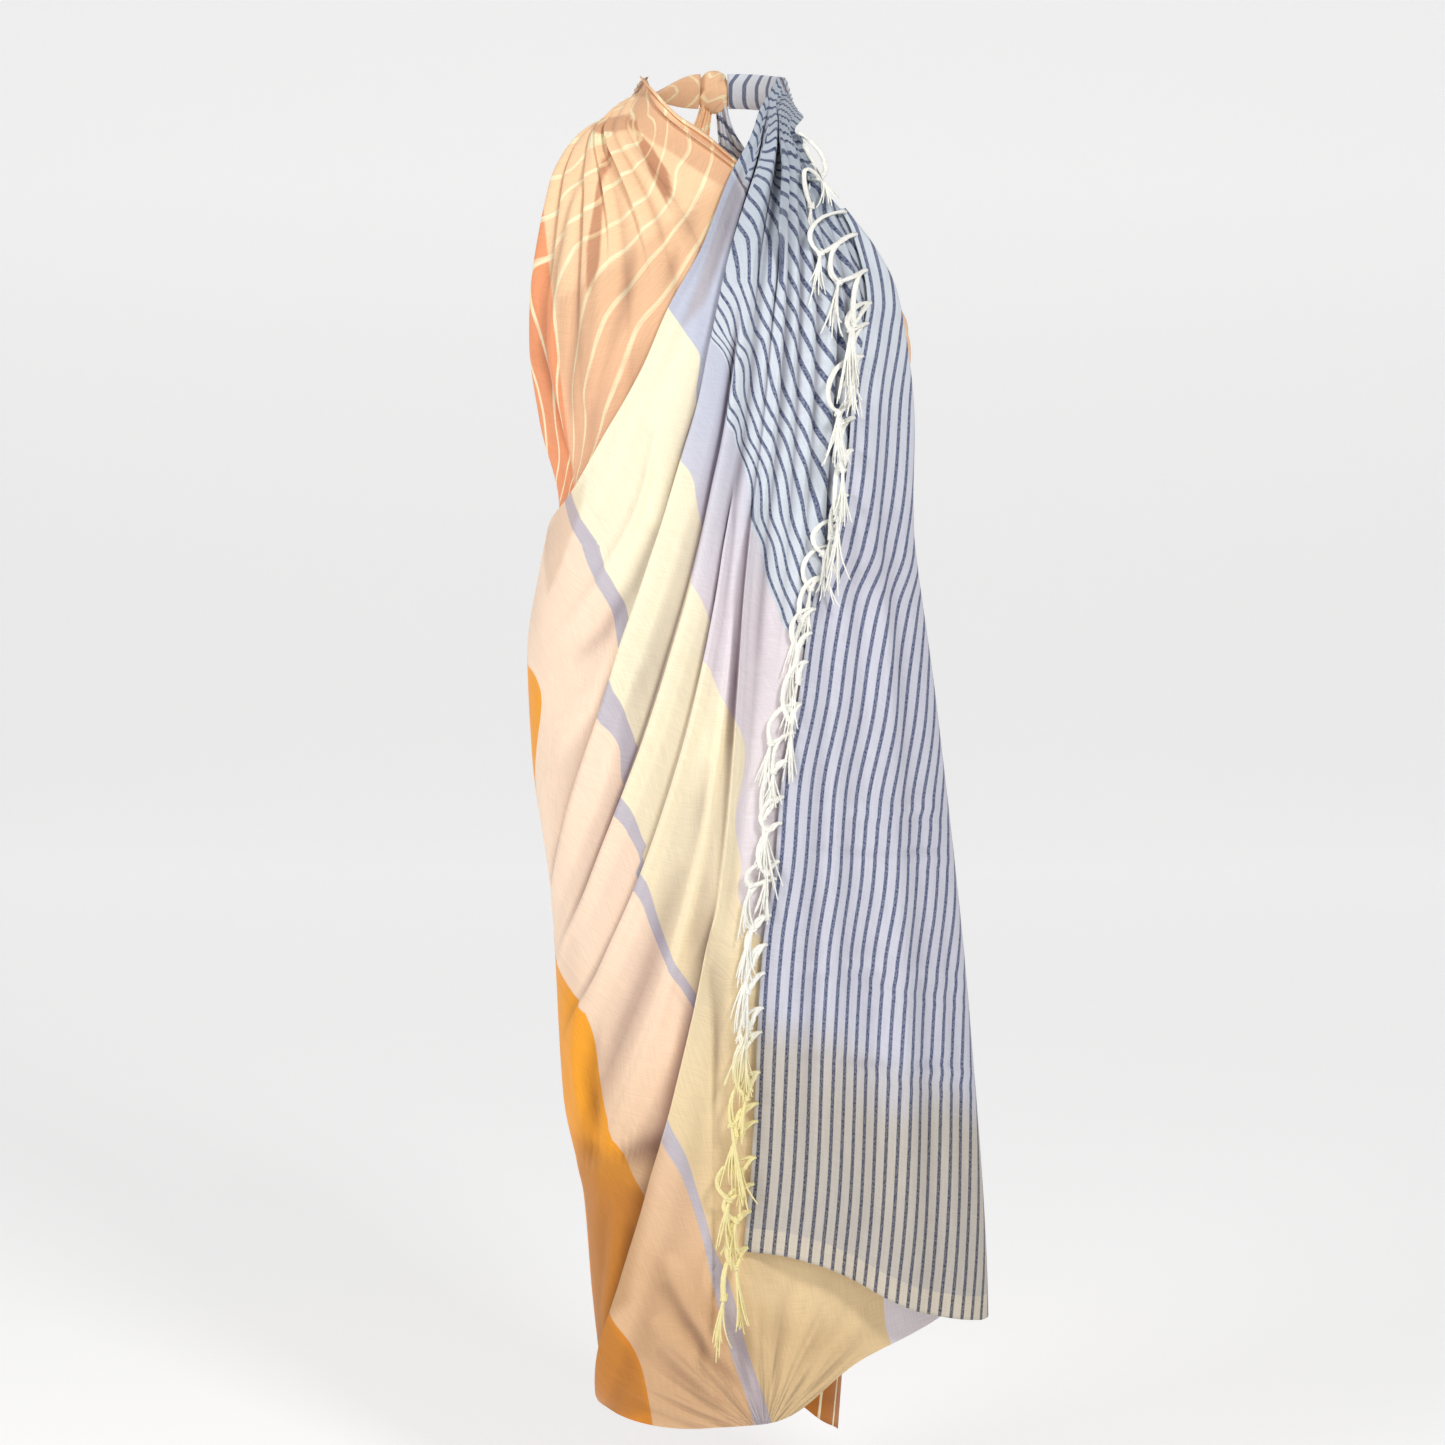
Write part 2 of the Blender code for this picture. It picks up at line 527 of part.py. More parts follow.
def fringe(edgeOuter, edgeInner, away, lengths, turnShares):
    """A narrow strip beside the cloth's edge, with strands drawn out of its free side."""
    steps = np.linalg.norm(np.diff(edgeOuter, axis=0), axis=-1)
    length = np.concatenate([[0], np.cumsum(steps)])
    width = strand["width"]
    roots = np.arange(strand["first"], length[-1] - width - strand["first"] / 2, strand["pitch"])
    cuts = np.sort(np.concatenate([[0], roots, roots + width, [length[-1]]]))
    # The strip bends where the cloth's edge bends, so it takes the edge's own points too.
    near = np.abs(cuts[None, :] - length[:, None]).min(axis=1) <= width / 2
    within = np.any((roots < length[:, None]) & (length[:, None] < roots + width), axis=1)
    cuts = np.sort(np.concatenate([cuts, length[~near & ~within]]))
    count = len(cuts)

    def along(values):
        return np.stack([np.interp(cuts, length, values[:, k]) for k in range(3)], -1)

    outer, inner, aside = along(edgeOuter), along(edgeInner), along(away)
    clothSide = np.stack([outer + aside * fringeGap, inner + aside * fringeGap], 1)
    freeSide = clothSide + (aside * stripWidth)[:, None]
    vertices = list(clothSide.reshape(-1, 3)) + list(freeSide.reshape(-1, 3))
    faces = []

    def quad(a, b, c, d):
        faces.append((a, b, c))
        faces.append((a, c, d))

    def cornersAt(station):
        """The strip's corners at a station: cloth side outer and inner, then free side the same."""
        first = 2 * station
        return first, first + 1, first + 2 * count, first + 2 * count + 1

    made = 0
    for station in range(count - 1):
        outerHere, innerHere, outerFar, innerFar = cornersAt(station)
        nextOuter, nextInner, nextOuterFar, nextInnerFar = cornersAt(station + 1)
        quad(outerHere, nextOuter, nextOuterFar, outerFar)
        quad(innerHere, innerFar, nextInnerFar, nextInner)
        quad(outerHere, innerHere, nextInner, nextOuter)
        ring = [outerFar, nextOuterFar, nextInnerFar, innerFar]
        if np.abs(roots - cuts[station]).min() < 1e-7:
            root = np.array([vertices[k] for k in ring])
            steepest = turnShares[made % len(turnShares)] * np.pi / 2
            for section in strandSections(root, aside[station], lengths[made % len(lengths)], steepest):
                start = len(vertices)
                vertices.extend(section)
                following = [start, start + 1, start + 2, start + 3]
                for k in range(4):
                    quad(ring[k], ring[(k + 1) % 4], following[(k + 1) % 4], following[k])
                ring = following
            made += 1
        quad(*ring)
    outerHere, innerHere, outerFar, innerFar = cornersAt(0)
    quad(outerHere, outerFar, innerFar, innerHere)
    outerHere, innerHere, outerFar, innerFar = cornersAt(count - 1)
    quad(outerHere, innerHere, innerFar, outerFar)
    return np.array(vertices), np.array(faces)


def main():
    for thing in list(bpy.data.objects):
        bpy.data.objects.remove(thing, do_unlink=True)
    peach = material("peach")
    saffron = material("saffron")
    cream = material("cream")
    stripedBlue = material("striped blue")
    white = material("white", 0.9)
    random = np.random.default_rng(seed)

    outer, angle, drop, relief = outerFront()
    leftColumns = sum(count for _, count, _ in outerGuides[:3]) + 1
    inner, innerAngle, innerDrop, innerRelief = innerFront()
    rightColumns = sum(count for _, count, _ in innerGuides[:5])
    back = backWrap(innerDrop[-1, rightColumns:][::-1], innerRelief[-1, rightColumns:][::-1],
                    drop[-1, :leftColumns], relief[-1, :leftColumns])
    end = stripedEnd(outer[:, -1], angle[:, -1], drop[:, -1])

    vertices, faces, outerSkin, innerSkin = wallMesh(outer, clothWall, -1)
    addObject("outer_front", vertices, faces, cream)
    vertices, faces, _, _ = wallMesh(inner, clothWall, -1)
    addObject("inner_front", vertices, faces, peach)
    vertices, faces, _, _ = wallMesh(back, clothWall, -1)
    addObject("back_wrap", vertices, faces, saffron)
    vertices, faces, endOuter, endInner = wallMesh(end, clothWall, 1)
    addObject("striped_end", vertices, faces, stripedBlue)

    vertices, faces, _, _ = neckGather((angle[0], drop[0]), 1)
    addObject("right_neck_gather", vertices, faces, stripedBlue)
    vertices, faces, _, _ = neckGather((innerAngle[0][::-1], innerDrop[0][::-1]), -1)
    addObject("left_neck_gather", vertices, faces, peach)
    vertices, faces = napeKnot()
    addObject("nape_knot", vertices, faces, peach)
    for name, mirror, colour in (("right_knot_tail", 1, stripedBlue), ("left_knot_tail", -1, peach)):
        vertices, faces, _, _ = knotTail(mirror)
        addObject(name, vertices, faces, colour)

    lengths = strand["shortest"] + strand["longer"] * random.random(16)
    turns = strand["turn"] + strand["moreTurn"] * random.random(13)
    vertices, faces = fringe(endOuter[:, -1], endInner[:, -1], awayFromEdge(end), lengths, turns)
    addObject("end_fringe", vertices, faces[:, ::-1], white)
    edge = (outerSkin[:, -1], innerSkin[:, -1], awayFromEdge(outer))
    shoulder = [stretch(values, drop[:, -1], shoulderFringe["start"], shoulderFringe["end"]) for values in edge]
    vertices, faces = fringe(*shoulder, lengths, shoulderFringe["turn"] * turns)
    addObject("shoulder_fringe", vertices, faces, white)


main()
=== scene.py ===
import math
import bpy
import numpy as np
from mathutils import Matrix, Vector


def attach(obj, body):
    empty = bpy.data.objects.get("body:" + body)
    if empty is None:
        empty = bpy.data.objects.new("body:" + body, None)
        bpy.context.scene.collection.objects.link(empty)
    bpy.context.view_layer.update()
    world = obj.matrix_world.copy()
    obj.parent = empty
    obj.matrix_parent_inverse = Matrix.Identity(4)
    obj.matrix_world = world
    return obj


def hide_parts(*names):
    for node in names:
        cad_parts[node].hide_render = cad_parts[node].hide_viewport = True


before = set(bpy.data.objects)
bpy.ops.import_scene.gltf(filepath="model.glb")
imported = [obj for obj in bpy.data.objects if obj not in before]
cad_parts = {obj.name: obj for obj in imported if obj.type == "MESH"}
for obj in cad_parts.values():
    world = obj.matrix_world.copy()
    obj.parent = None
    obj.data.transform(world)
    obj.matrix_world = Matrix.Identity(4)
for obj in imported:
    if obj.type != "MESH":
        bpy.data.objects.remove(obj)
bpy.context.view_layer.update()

# Places: angle is the turn from the front centre towards the right, drop the distance below the neck, lift
# the distance from the body's form, all in degrees or metres. Listed lines on the cloth are in millimetres,
# as seen from the front: right of the neck's middle, and below it.
camera = {"place": (0.0085, -3.0, -0.35), "aim": (0.0085, 0.0, -0.62), "lens": 75.0, "sensor": 36.0}
cloth = {"thickness": 0.0008, "innerLift": 0.004, "outerLift": 0.014, "neckLift": 0.005,
         "neckReach": 0.05, "foldAngle": 62.0, "turnReach": 1.6, "seam": 0.0008, "meanRadius": 0.15}


def table(columns, rows):
    # One array for each named column of the rows.
    return dict(zip(columns.split(), np.array(rows, float).T))


form = table("drop left right front back", [
    (-0.020, 0.062, 0.062, 0.056, 0.068),
    (0.000, 0.070, 0.066, 0.058, 0.072),
    (0.020, 0.092, 0.078, 0.062, 0.076),
    (0.040, 0.122, 0.100, 0.067, 0.080),
    (0.060, 0.140, 0.128, 0.073, 0.084),
    (0.090, 0.154, 0.153, 0.085, 0.092),
    (0.150, 0.164, 0.176, 0.106, 0.106),
    (0.200, 0.170, 0.186, 0.120, 0.112),
    (0.250, 0.172, 0.188, 0.126, 0.114),
    (0.320, 0.165, 0.187, 0.119, 0.112),
    (0.400, 0.148, 0.184, 0.106, 0.108),
    (0.460, 0.158, 0.184, 0.106, 0.118),
    (0.550, 0.172, 0.184, 0.114, 0.134),
    (0.650, 0.168, 0.178, 0.116, 0.140),
    (0.800, 0.149, 0.166, 0.112, 0.128),
    (1.000, 0.138, 0.150, 0.106, 0.116),
    (1.100, 0.118, 0.140, 0.103, 0.110),
    (1.200, 0.110, 0.132, 0.098, 0.106),
    (1.345, 0.094, 0.122, 0.090, 0.100),
])
foldLine = table("drop reach radius", [
    (-0.020, 0.058, 0.002),
    (0.000, 0.063, 0.002),
    (0.035, 0.088, 0.002),
    (0.110, 0.131, 0.003),
    (0.190, 0.176, 0.005),
    (0.300, 0.184, 0.009),
    (0.400, 0.190, 0.011),
    (0.600, 0.216, 0.013),
    (0.900, 0.250, 0.018),
    (1.200, 0.272, 0.023),
    (1.345, 0.275, 0.024),
])


def smooth(at, knots, values):
    # Monotone cubic through the knots: each cell is a Hermite cubic whose end slopes are the
    # harmonic means of the neighbouring chords, or zero where these change sign.
    knots = np.asarray(knots, float)
    values = np.asarray(values, float)
    shape = (-1,) + (1,) * (values.ndim - 1)
    slopes = np.diff(values, axis=0) / np.diff(knots).reshape(shape)
    before, after = slopes[:-1], slopes[1:]
    agree = before * after > 0
    total = np.where(agree, before + after, 1.0)
    tangents = np.concatenate([slopes[:1], np.where(agree, 2 * before * after / total, 0.0), slopes[-1:]])
    at = np.clip(at, knots[0], knots[-1])
    low = np.clip(np.searchsorted(knots, at, side="right") - 1, 0, len(knots) - 2)
    wide = at.shape + (1,) * (values.ndim - 1)
    step = (knots[low + 1] - knots[low]).reshape(wide)
    part = ((at - knots[low]) / (knots[low + 1] - knots[low])).reshape(wide)
    square, cube = part ** 2, part ** 3
    return ((2 * cube - 3 * square + 1) * values[low] + (cube - 2 * square + part) * step * tangents[low]
            + (3 * square - 2 * cube) * values[low + 1] + (cube - square) * step * tangents[low + 1])


def ease(value, start, end):
    # 0 before start, 1 after end, and the cubic 3s^2 - 2s^3 between.
    share = np.clip((value - start) / (end - start), 0, 1)
    return share * share * (3 - 2 * share)


def bell(value):
    # exp(-value^2), 1 in the middle.
    return np.exp(-value * value)


def distance(points, axis=0):
    # Length run along one axis of a grid of points, from 0 at its start: its summed steps.
    steps = np.linalg.norm(np.diff(points, axis=axis), axis=-1)
    return np.concatenate([0 * steps.take([0], axis), np.cumsum(steps, axis=axis)], axis=axis)


def halfSizes(angle, drop, lift, outer):
    # Half width and half depth of the level's ellipse. The outer front flares out to its fold.
    left, right, front, back = (smooth(drop, form["drop"], form[side]) + lift
                                for side in ("left", "right", "front", "back"))
    if outer:
        radius = smooth(drop, foldLine["drop"], foldLine["radius"])
        reach = smooth(drop, foldLine["drop"], foldLine["reach"]) - cloth["turnReach"] * radius
        right = np.maximum(right, reach / math.sin(math.radians(cloth["foldAngle"])))
    return np.where(np.sin(angle) < 0, left, right), np.where(np.cos(angle) > 0, front, back)


def surface(angle, drop, lift, relief=0.0, aside=0.0, outer=False):
    # (wide sin a, -deep cos a, -drop), moved out by the relief and sideways by "aside".
    wide, deep = halfSizes(angle, drop, lift, outer)
    points = np.stack([wide * np.sin(angle), -deep * np.cos(angle), -drop], -1)
    out = np.stack([deep * np.sin(angle), -wide * np.cos(angle), 0 * drop], -1)
    out /= np.linalg.norm(out, axis=-1, keepdims=True)
    along = np.stack([-out[..., 1], out[..., 0], 0 * drop], -1)
    relief = np.asarray(relief + 0 * drop)[..., None]
    aside = np.asarray(aside + 0 * drop)[..., None]
    return points + out * relief + along * aside, out, along


def placeOnForm(seen, lift, outer):
    # Follows each line of sight from the camera through the seen place on the neck's plane, and
    # takes the first point where (x / wide)^2 + (y / deep)^2 falls to 1, or comes nearest to it.
    seen = np.asarray(seen, float) / 1000
    eye = np.array(camera["place"])
    target = np.stack([seen[:, 0], 0 * seen[:, 0], -seen[:, 1]], -1)
    share = np.linspace(0.93, 1.0, 1200)[None, :, None]
    ray = eye + (target - eye)[:, None] * share
    wide, deep = halfSizes(np.arctan2(ray[..., 0], -ray[..., 1]), -ray[..., 2], lift, outer)
    level = (ray[..., 0] / wide) ** 2 + (ray[..., 1] / deep) ** 2 - 1
    first = np.where((level < 0).any(axis=1), (level < 0).argmax(axis=1), level.argmin(axis=1))
    hit = ray[np.arange(len(seen)), first]
    wide, deep = (size[np.arange(len(seen)), first] for size in (wide, deep))
    return np.stack([np.arctan2(hit[:, 0] / wide, -hit[:, 1] / deep), -hit[:, 2]], -1)


def guideGrid(guides, rows, perColumn, crowding):
    # Each guide is read at rows shares of its length, and the guides are joined across, both by
    # the monotone cubic. "column" counts the solid's own columns, perColumn steps to each.
    # Guides are (name, columns to the next one, stations of angle and drop in millimetres).
    share = np.linspace(0, 1, rows + 1) ** crowding
    lines = []
    for _, _, stations in guides:
        stations = np.array(stations, float) / (1, 1000)
        steps = np.hypot(np.diff(np.radians(stations[:, 0])) * cloth["meanRadius"], np.diff(stations[:, 1]))
        length = np.concatenate([[0], np.cumsum(steps)])
        lines.append(smooth(share, length / length[-1], stations))
    knots = np.concatenate([[0], np.cumsum([count for _, count, _ in guides[:-1]])])
    column = np.arange(knots[-1] * perColumn + 1) / perColumn
    grid = smooth(column, knots, np.array(lines)).transpose(1, 0, 2)
    return np.radians(grid[..., 0]), grid[..., 1], column[None, :]


def spacing(points, perColumn):
    # The distance between the solid's neighbouring columns at each point.
    return np.linalg.norm(np.gradient(points, axis=1), axis=-1) * perColumn


def lappedFolds(folds, points, drop, column, perColumn):
    # Each fold rises as a bell over its gentle flank, leans by its lap over its steep flank, and
    # has a groove beside that. side is 1 where the steep flank is on the left.
    unit = spacing(points, perColumn)
    relief, aside = 0 * drop, 0 * drop
    for at, height, steep, gentle, start, end, lap, groove, side in zip(*folds.values()):
        away = (column - at) * unit * side
        reach = ease(drop, start - 0.06, start + 0.02) * (1 - ease(drop, end - 0.06, end + 0.10))
        relief = relief + reach * height * bell(away / np.where(away < 0, steep, gentle))
        relief = relief - reach * groove * bell((away + 1.9 * steep) / steep)
        aside = aside - side * lap * reach * bell(away / np.where(away < 0, steep, 0.5 * gentle))
    return relief, aside


def pleats(spec, points, drop, column, perColumn):
    # Rounded ridges 1 - |2p^k - 1|^n over each pleat's width, k leaning them to one side; each
    # pleat has its own share of the height, and the height never passes a share of the pitch.
    unit = spacing(points, perColumn)
    at = (column - spec["first"]) / spec["columns"]
    inside = (at > 0) & (at < len(spec["shares"]))
    which = np.clip(np.floor(at).astype(int), 0, len(spec["shares"]) - 1)
    height = np.minimum(spec["steepness"] * unit * spec["columns"], spec["height"])
    height = height * np.array(spec["shares"])[which]
    part = np.clip(at - which, 0, 1)
    wave = 1 - np.abs(2 * part ** spec["lean"] - 1) ** spec["roundness"]
    start, end = (share * np.array(spec["lengths"])[which] for share in spec["fade"])
    return np.where(inside, height * wave * (1 - ease(drop, start, end)), 0)


def strokes(lines, angle, drop, scale):
    # Soft ridges (height above 0) and troughs along lines of (angle, drop): a bell of the distance
    # to the line's nearest segment, tapering to nothing at its two ends as the root of a sine.
    # scale is the length of cloth to a radian at each point.
    relief = 0 * drop
    for height, width, line in lines:
        line = np.asarray(line, float)
        steps = np.linalg.norm(np.diff(line, axis=0) * (0.2, 1), axis=-1)
        total = steps.sum()
        nearest, place = np.full(drop.shape, 9.0), 0 * drop
        for start, end, before, step in zip(line[:-1], line[1:], np.cumsum(steps) - steps, steps):
            runX, runY = (end[0] - start[0]) * scale, end[1] - start[1]
            x, y = (angle - start[0]) * scale, drop - start[1]
            share = np.clip((x * runX + y * runY) / (runX ** 2 + runY ** 2), 0, 1)
            away = np.hypot(x - share * runX, y - share * runY)
            place = np.where(away < nearest, (before + share * step) / total, place)
            nearest = np.minimum(away, nearest)
        taper = np.sqrt(np.sin(np.pi * np.clip(place, 0.001, 0.999)))
        relief = relief + height * bell(nearest / width) * taper
    return relief


def turnLength(angle, drop, lift, outer):
    # Metres to a radian: sqrt((wide cos a)^2 + (deep sin a)^2).
    wide, deep = halfSizes(angle, drop, lift, outer)
    return np.hypot(wide * np.cos(angle), deep * np.sin(angle))


def blurred(values, rows, columns):
    # The mean over a window of 2 rows + 1 by 2 columns + 1, taken twice, with the edges repeated.
    for axis, reach in ((0, rows), (1, columns), (0, rows), (1, columns)):
        padded = np.pad(values, [(reach + 1, reach) if k == axis else (0, 0) for k in (0, 1)], mode="edge")
        total = np.cumsum(padded, axis=axis)
        first = np.take(total, np.arange(values.shape[axis]), axis)
        last = np.take(total, np.arange(values.shape[axis]) + 2 * reach + 1, axis)
        values = (last - first) / (2 * reach + 1)
    return values


def hollows(relief, rows, columns, depth):
    # How far each point lies below its neighbourhood, as a share of the depth, from 0 to 1.
    return np.clip((blurred(relief, rows, columns) - relief) / depth, 0, 1)


def seenStrokes(rows, lift, outer):
    # The same rows in metres, with their lines moved from what is seen onto the form.
    return [(height / 1000, width / 1000, placeOnForm(line, lift, outer)) for height, width, line in rows]


def thinPlate(places, values, angle, drop):
    # The smoothest field through the given values: a + b x + c y + sum of w r^2 log r.
    radius = cloth["meanRadius"]
    knots = np.asarray(places, float) * (radius, 1)

    def kernel(square):
        # r^2 log r, from r^2.
        return square * np.log(square + 1e-12)

    gaps = ((knots[:, None] - knots[None]) ** 2).sum(-1)
    count = len(knots)
    system = np.zeros((count + 3, count + 3))
    system[:count, :count] = kernel(gaps) + 1e-5 * np.eye(count)
    system[:count, count] = system[count, :count] = 1
    system[:count, count + 1:] = knots
    system[count + 1:, :count] = knots.T
    weights = np.linalg.solve(system, np.concatenate([values, np.zeros(3)]))
    field = weights[count] + weights[count + 1] * angle * radius + weights[count + 2] * drop
    for weight, knot in zip(weights[:count], knots):
        field = field + weight * kernel((angle * radius - knot[0]) ** 2 + (drop - knot[1]) ** 2)
    return field


def patch(outline, angle, drop, soft):
    # 1 inside the outline, where a level line to the left crosses it an odd number of times, and
    # 0 outside, softened over the distance to its nearest side.
    radius = cloth["meanRadius"]
    outline = np.asarray(outline, float) * (radius, 1)
    x, y = angle * radius, drop
    inside, nearest = np.zeros(drop.shape, bool), np.full(drop.shape, 9.0)
    for start, end in zip(outline, np.roll(outline, -1, axis=0)):
        crosses = (start[1] > y) != (end[1] > y)
        height = end[1] - start[1] if abs(end[1] - start[1]) > 1e-9 else 1e-9
        run = end - start
        inside ^= crosses & (x < run[0] * (y - start[1]) / height + start[0])
        along = np.clip(((x - start[0]) * run[0] + (y - start[1]) * run[1]) / (run @ run), 0, 1)
        away = np.hypot(x - start[0] - along * run[0], y - start[1] - along * run[1])
        nearest = np.minimum(nearest, away)
    return ease(np.where(inside, nearest, -nearest), -soft, soft)


def addPiece(name, points, faces, finish):
    # A smooth mesh with its place in its points, from the point numbers of its faces.
    mesh = bpy.data.meshes.new(name)
    mesh.from_pydata(points.reshape(-1, 3).tolist(), [], faces)
    mesh.uv_layers.new(name="cloth")
    mesh.shade_smooth()
    mesh.materials.append(finish)
    piece = bpy.data.objects.new(name, mesh)
    bpy.context.scene.collection.objects.link(piece)
    return piece


def cellCorners(grid):
    # The values at the four corners of each cell (i, j) of a grid: at (i, j), (i, j + 1),
    # (i + 1, j + 1) and (i + 1, j).
    return np.stack([grid[:-1, :-1], grid[:-1, 1:], grid[1:, 1:], grid[1:, :-1]], 2)


def quadMesh(name, points, uv, outward, finish, closed=False):
    # A quad for each cell of the grid of points, turned so that it faces along "outward". uv has
    # one value for each corner of each cell, or for each point.
    rows, columns = points.shape[:2]
    index = np.arange(rows * columns).reshape(rows, columns)
    if closed:
        index = np.concatenate([index, index[:, :1]], axis=1)
    cells = cellCorners(index)
    if uv.ndim == 3:
        uv = cellCorners(np.concatenate([uv, uv[:, :1]], axis=1) if closed else uv)
    corners = points.reshape(-1, 3)[cells]
    normal = np.cross(corners[..., 2, :] - corners[..., 0, :], corners[..., 3, :] - corners[..., 1, :])
    facing = outward if isinstance(outward, tuple) else outward.reshape(-1, 3)[cells[..., 0]]
    if (normal * np.asarray(facing)).sum() < 0:
        cells, uv = cells[..., ::-1], uv[..., ::-1, :]
    piece = addPiece(name, points, cells.reshape(-1, 4).tolist(), finish)
    piece.data.uv_layers["cloth"].data.foreach_set("uv", uv.reshape(-1, 2).astype(np.float32).ravel())
    return piece


def settle(piece, node):
    # The piece rides on the part and stands for its node.
    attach(piece, "root")
    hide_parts(node)
    print("made", piece.name, len(piece.data.polygons), "faces")


def cover(node, slot, finish, points, uv, outward, layers=0.0, hollowShade=0.0, fromFringe=0.0, wall=0.0,
          closed=False):
    # The cloth that stands for a node. Each point keeps three values: how far it is deepened, from 0 to 1,
    # for the layers that show through and as painted shade where folds and the layers above shade it; how
    # much painted shade it takes between folds, from 0 to 1; and metres from the fringed end. A wall is
    # given half its thickness to each side.
    piece = quadMesh(node + "_cloth", points, uv, outward, finish, closed)
    for name, values in (("layers", layers), ("hollowShade", hollowShade), ("fromFringe", fromFringe)):
        values = (values + np.zeros(points.shape[:2])).ravel().astype(np.float32)
        piece.data.attributes.new(name, "FLOAT", "POINT").data.foreach_set("value", values)
    if wall:
        solid = piece.modifiers.new("wall", "SOLIDIFY")
        solid.thickness, solid.offset = wall, 0.0
    settle(piece, node)
    return piece


# Materials

def colour(red, green, blue):
    # An sRGB colour from 0 to 255, made linear.
    share = np.array([red, green, blue]) / 255
    linear = np.where(share <= 0.04045, share / 12.92, ((share + 0.055) / 1.055) ** 2.4)
    return (*linear.tolist(), 1.0)


class Nodes:
    # Short calls for a material's node tree. across and down are metres on the cloth, side and
    # height are the object's own x and z.
    def __init__(self, name):
        # A new material, with the sockets of its places on the cloth and in space.
        self.material = bpy.data.materials.new(name)
        self.material.use_nodes = True
        self.tree = self.material.node_tree
        self.shader = self.tree.nodes["Principled BSDF"]
        self.wrinkle = None
        cloth = self.add("ShaderNodeUVMap")
        cloth.uv_map = "cloth"
        self.plane, self.object = cloth.outputs[0], self.add("ShaderNodeTexCoord").outputs["Object"]
        self.across, self.down, _ = self.split(self.plane)
        self.side, _, self.height = self.split(self.object)

    def add(self, kind):
        # A new node of the kind.
        return self.tree.nodes.new(kind)

    def link(self, source, target):
        # Joins a socket to the target, or sets the target to a number or colour.
        if isinstance(source, bpy.types.NodeSocket):
            self.tree.links.new(source, target)
        else:
            target.default_value = source

    def split(self, vector):
        # The x, y and z of a vector.
        node = self.add("ShaderNodeSeparateXYZ")
        self.link(vector, node.inputs[0])
        return node.outputs

    def maths(self, kind, *values):
        # One sum, product or other function of the values.
        node = self.add("ShaderNodeMath")
        node.operation = kind
        for value, target in zip(values, node.inputs):
            self.link(value, target)
        return node.outputs[0]

    def range(self, value, low, high, start=0.0, end=1.0, kind="SMOOTHSTEP"):
        # Goes from start to end as the value goes from low to high.
        node = self.add("ShaderNodeMapRange")
        node.interpolation_type = kind
        for number, target in zip((value, low, high, start, end), node.inputs):
            self.link(number, target)
        return node.outputs[0]

    def beyond(self, value, edge):
        # 0 before an edge of colour and 1 beyond it, with about a millimetre between.
        return self.range(value, edge - 0.0006, edge + 0.0006)

    def fall(self, high, low, *values):
        # 0 above the first height and 1 below the second, or from one value to the other.
        return self.range(self.height, high, low, *values)

    def mix(self, share, first, second, blend="MIX"):
        # first (1 - share) + second share, or the first multiplied.
        node = self.add("ShaderNodeMix")
        node.data_type = "RGBA"
        node.blend_type = blend
        for source, socket in ((share, 0), (first, 6), (second, 7)):
            self.link(source, node.inputs[socket])
        return node.outputs[2]

    def attribute(self, name):
        # The point's own value of that name.
        node = self.add("ShaderNodeAttribute")
        node.attribute_name = name
        return node.outputs["Fac"]

    def layers(self, tint, deeper):
        # The cloth's own colour, deepened where more layers lie behind it, and painted shade where folds
        # and the layers above shade it.
        return self.mix(self.attribute("layers"), tint, deeper)

    def hollowShade(self, tint):
        # Painted shade: darker between folds, as deep as the point lies below its neighbourhood.
        return self.mix(self.attribute("hollowShade"), tint, shade["shadow"], "MULTIPLY")

    def noise(self, scale, detail, stretch=None, roughness=0.5, source=None):
        # Noise on the object, on the cloth's own plane where stretch is given, or on the source.
        node = self.add("ShaderNodeTexNoise")
        for socket, value in (("Scale", scale), ("Detail", detail), ("Roughness", roughness)):
            node.inputs[socket].default_value = value
        if stretch:
            mapping = self.add("ShaderNodeMapping")
            mapping.inputs["Scale"].default_value = (*stretch, 1.0)
            self.link(self.plane, mapping.inputs[0])
            source = mapping.outputs[0]
        self.link(source or self.object, node.inputs["Vector"])
        return node.outputs[0]

    def bump(self, height, strength, reach, under=None):
        # The normal tilted by a height, on top of the one under it.
        node = self.add("ShaderNodeBump")
        node.inputs["Strength"].default_value = strength
        node.inputs["Distance"].default_value = reach
        self.link(height, node.inputs["Height"])
        if under:
            self.link(under, node.inputs["Normal"])
        return node.outputs[0]

    def stripes(self, pitch, width, offset=0.0, soft=0.0004):
        # 1 on stripes of the given width, one in each pitch across the cloth: the distance of
        # the place's share of its pitch from a half.
        part = self.maths("FRACT", self.maths("DIVIDE", self.maths("ADD", self.across, offset), pitch))
        away = self.maths("MULTIPLY", self.maths("ABSOLUTE", self.maths("SUBTRACT", part, 0.5)), pitch)
        return self.range(away, width / 2 - soft, width / 2 + soft, 1.0, 0.0)

    def navyStripes(self):
        # The stripes of the fringed end, with uneven dye along their threads.
        uneven = self.range(self.noise(1.0, 0.0, (700, 420)), 0.35, 0.7, 0.72, 1.0)
        return self.maths("MULTIPLY", self.stripes(band["pitch"], band["navyWidth"]), uneven)

    def yellowLines(self):
        # The lines of the peach end, thinner here and there.
        pitch = innerBands["pitch"]
        uneven = self.range(self.noise(1.0, 0.0, (500, 60)), 0.25, 0.6, 0.6, 0.95)
        return self.maths("MULTIPLY", self.stripes(pitch, innerBands["lineWidth"], pitch / 2), uneven)

    def weave(self, tint):
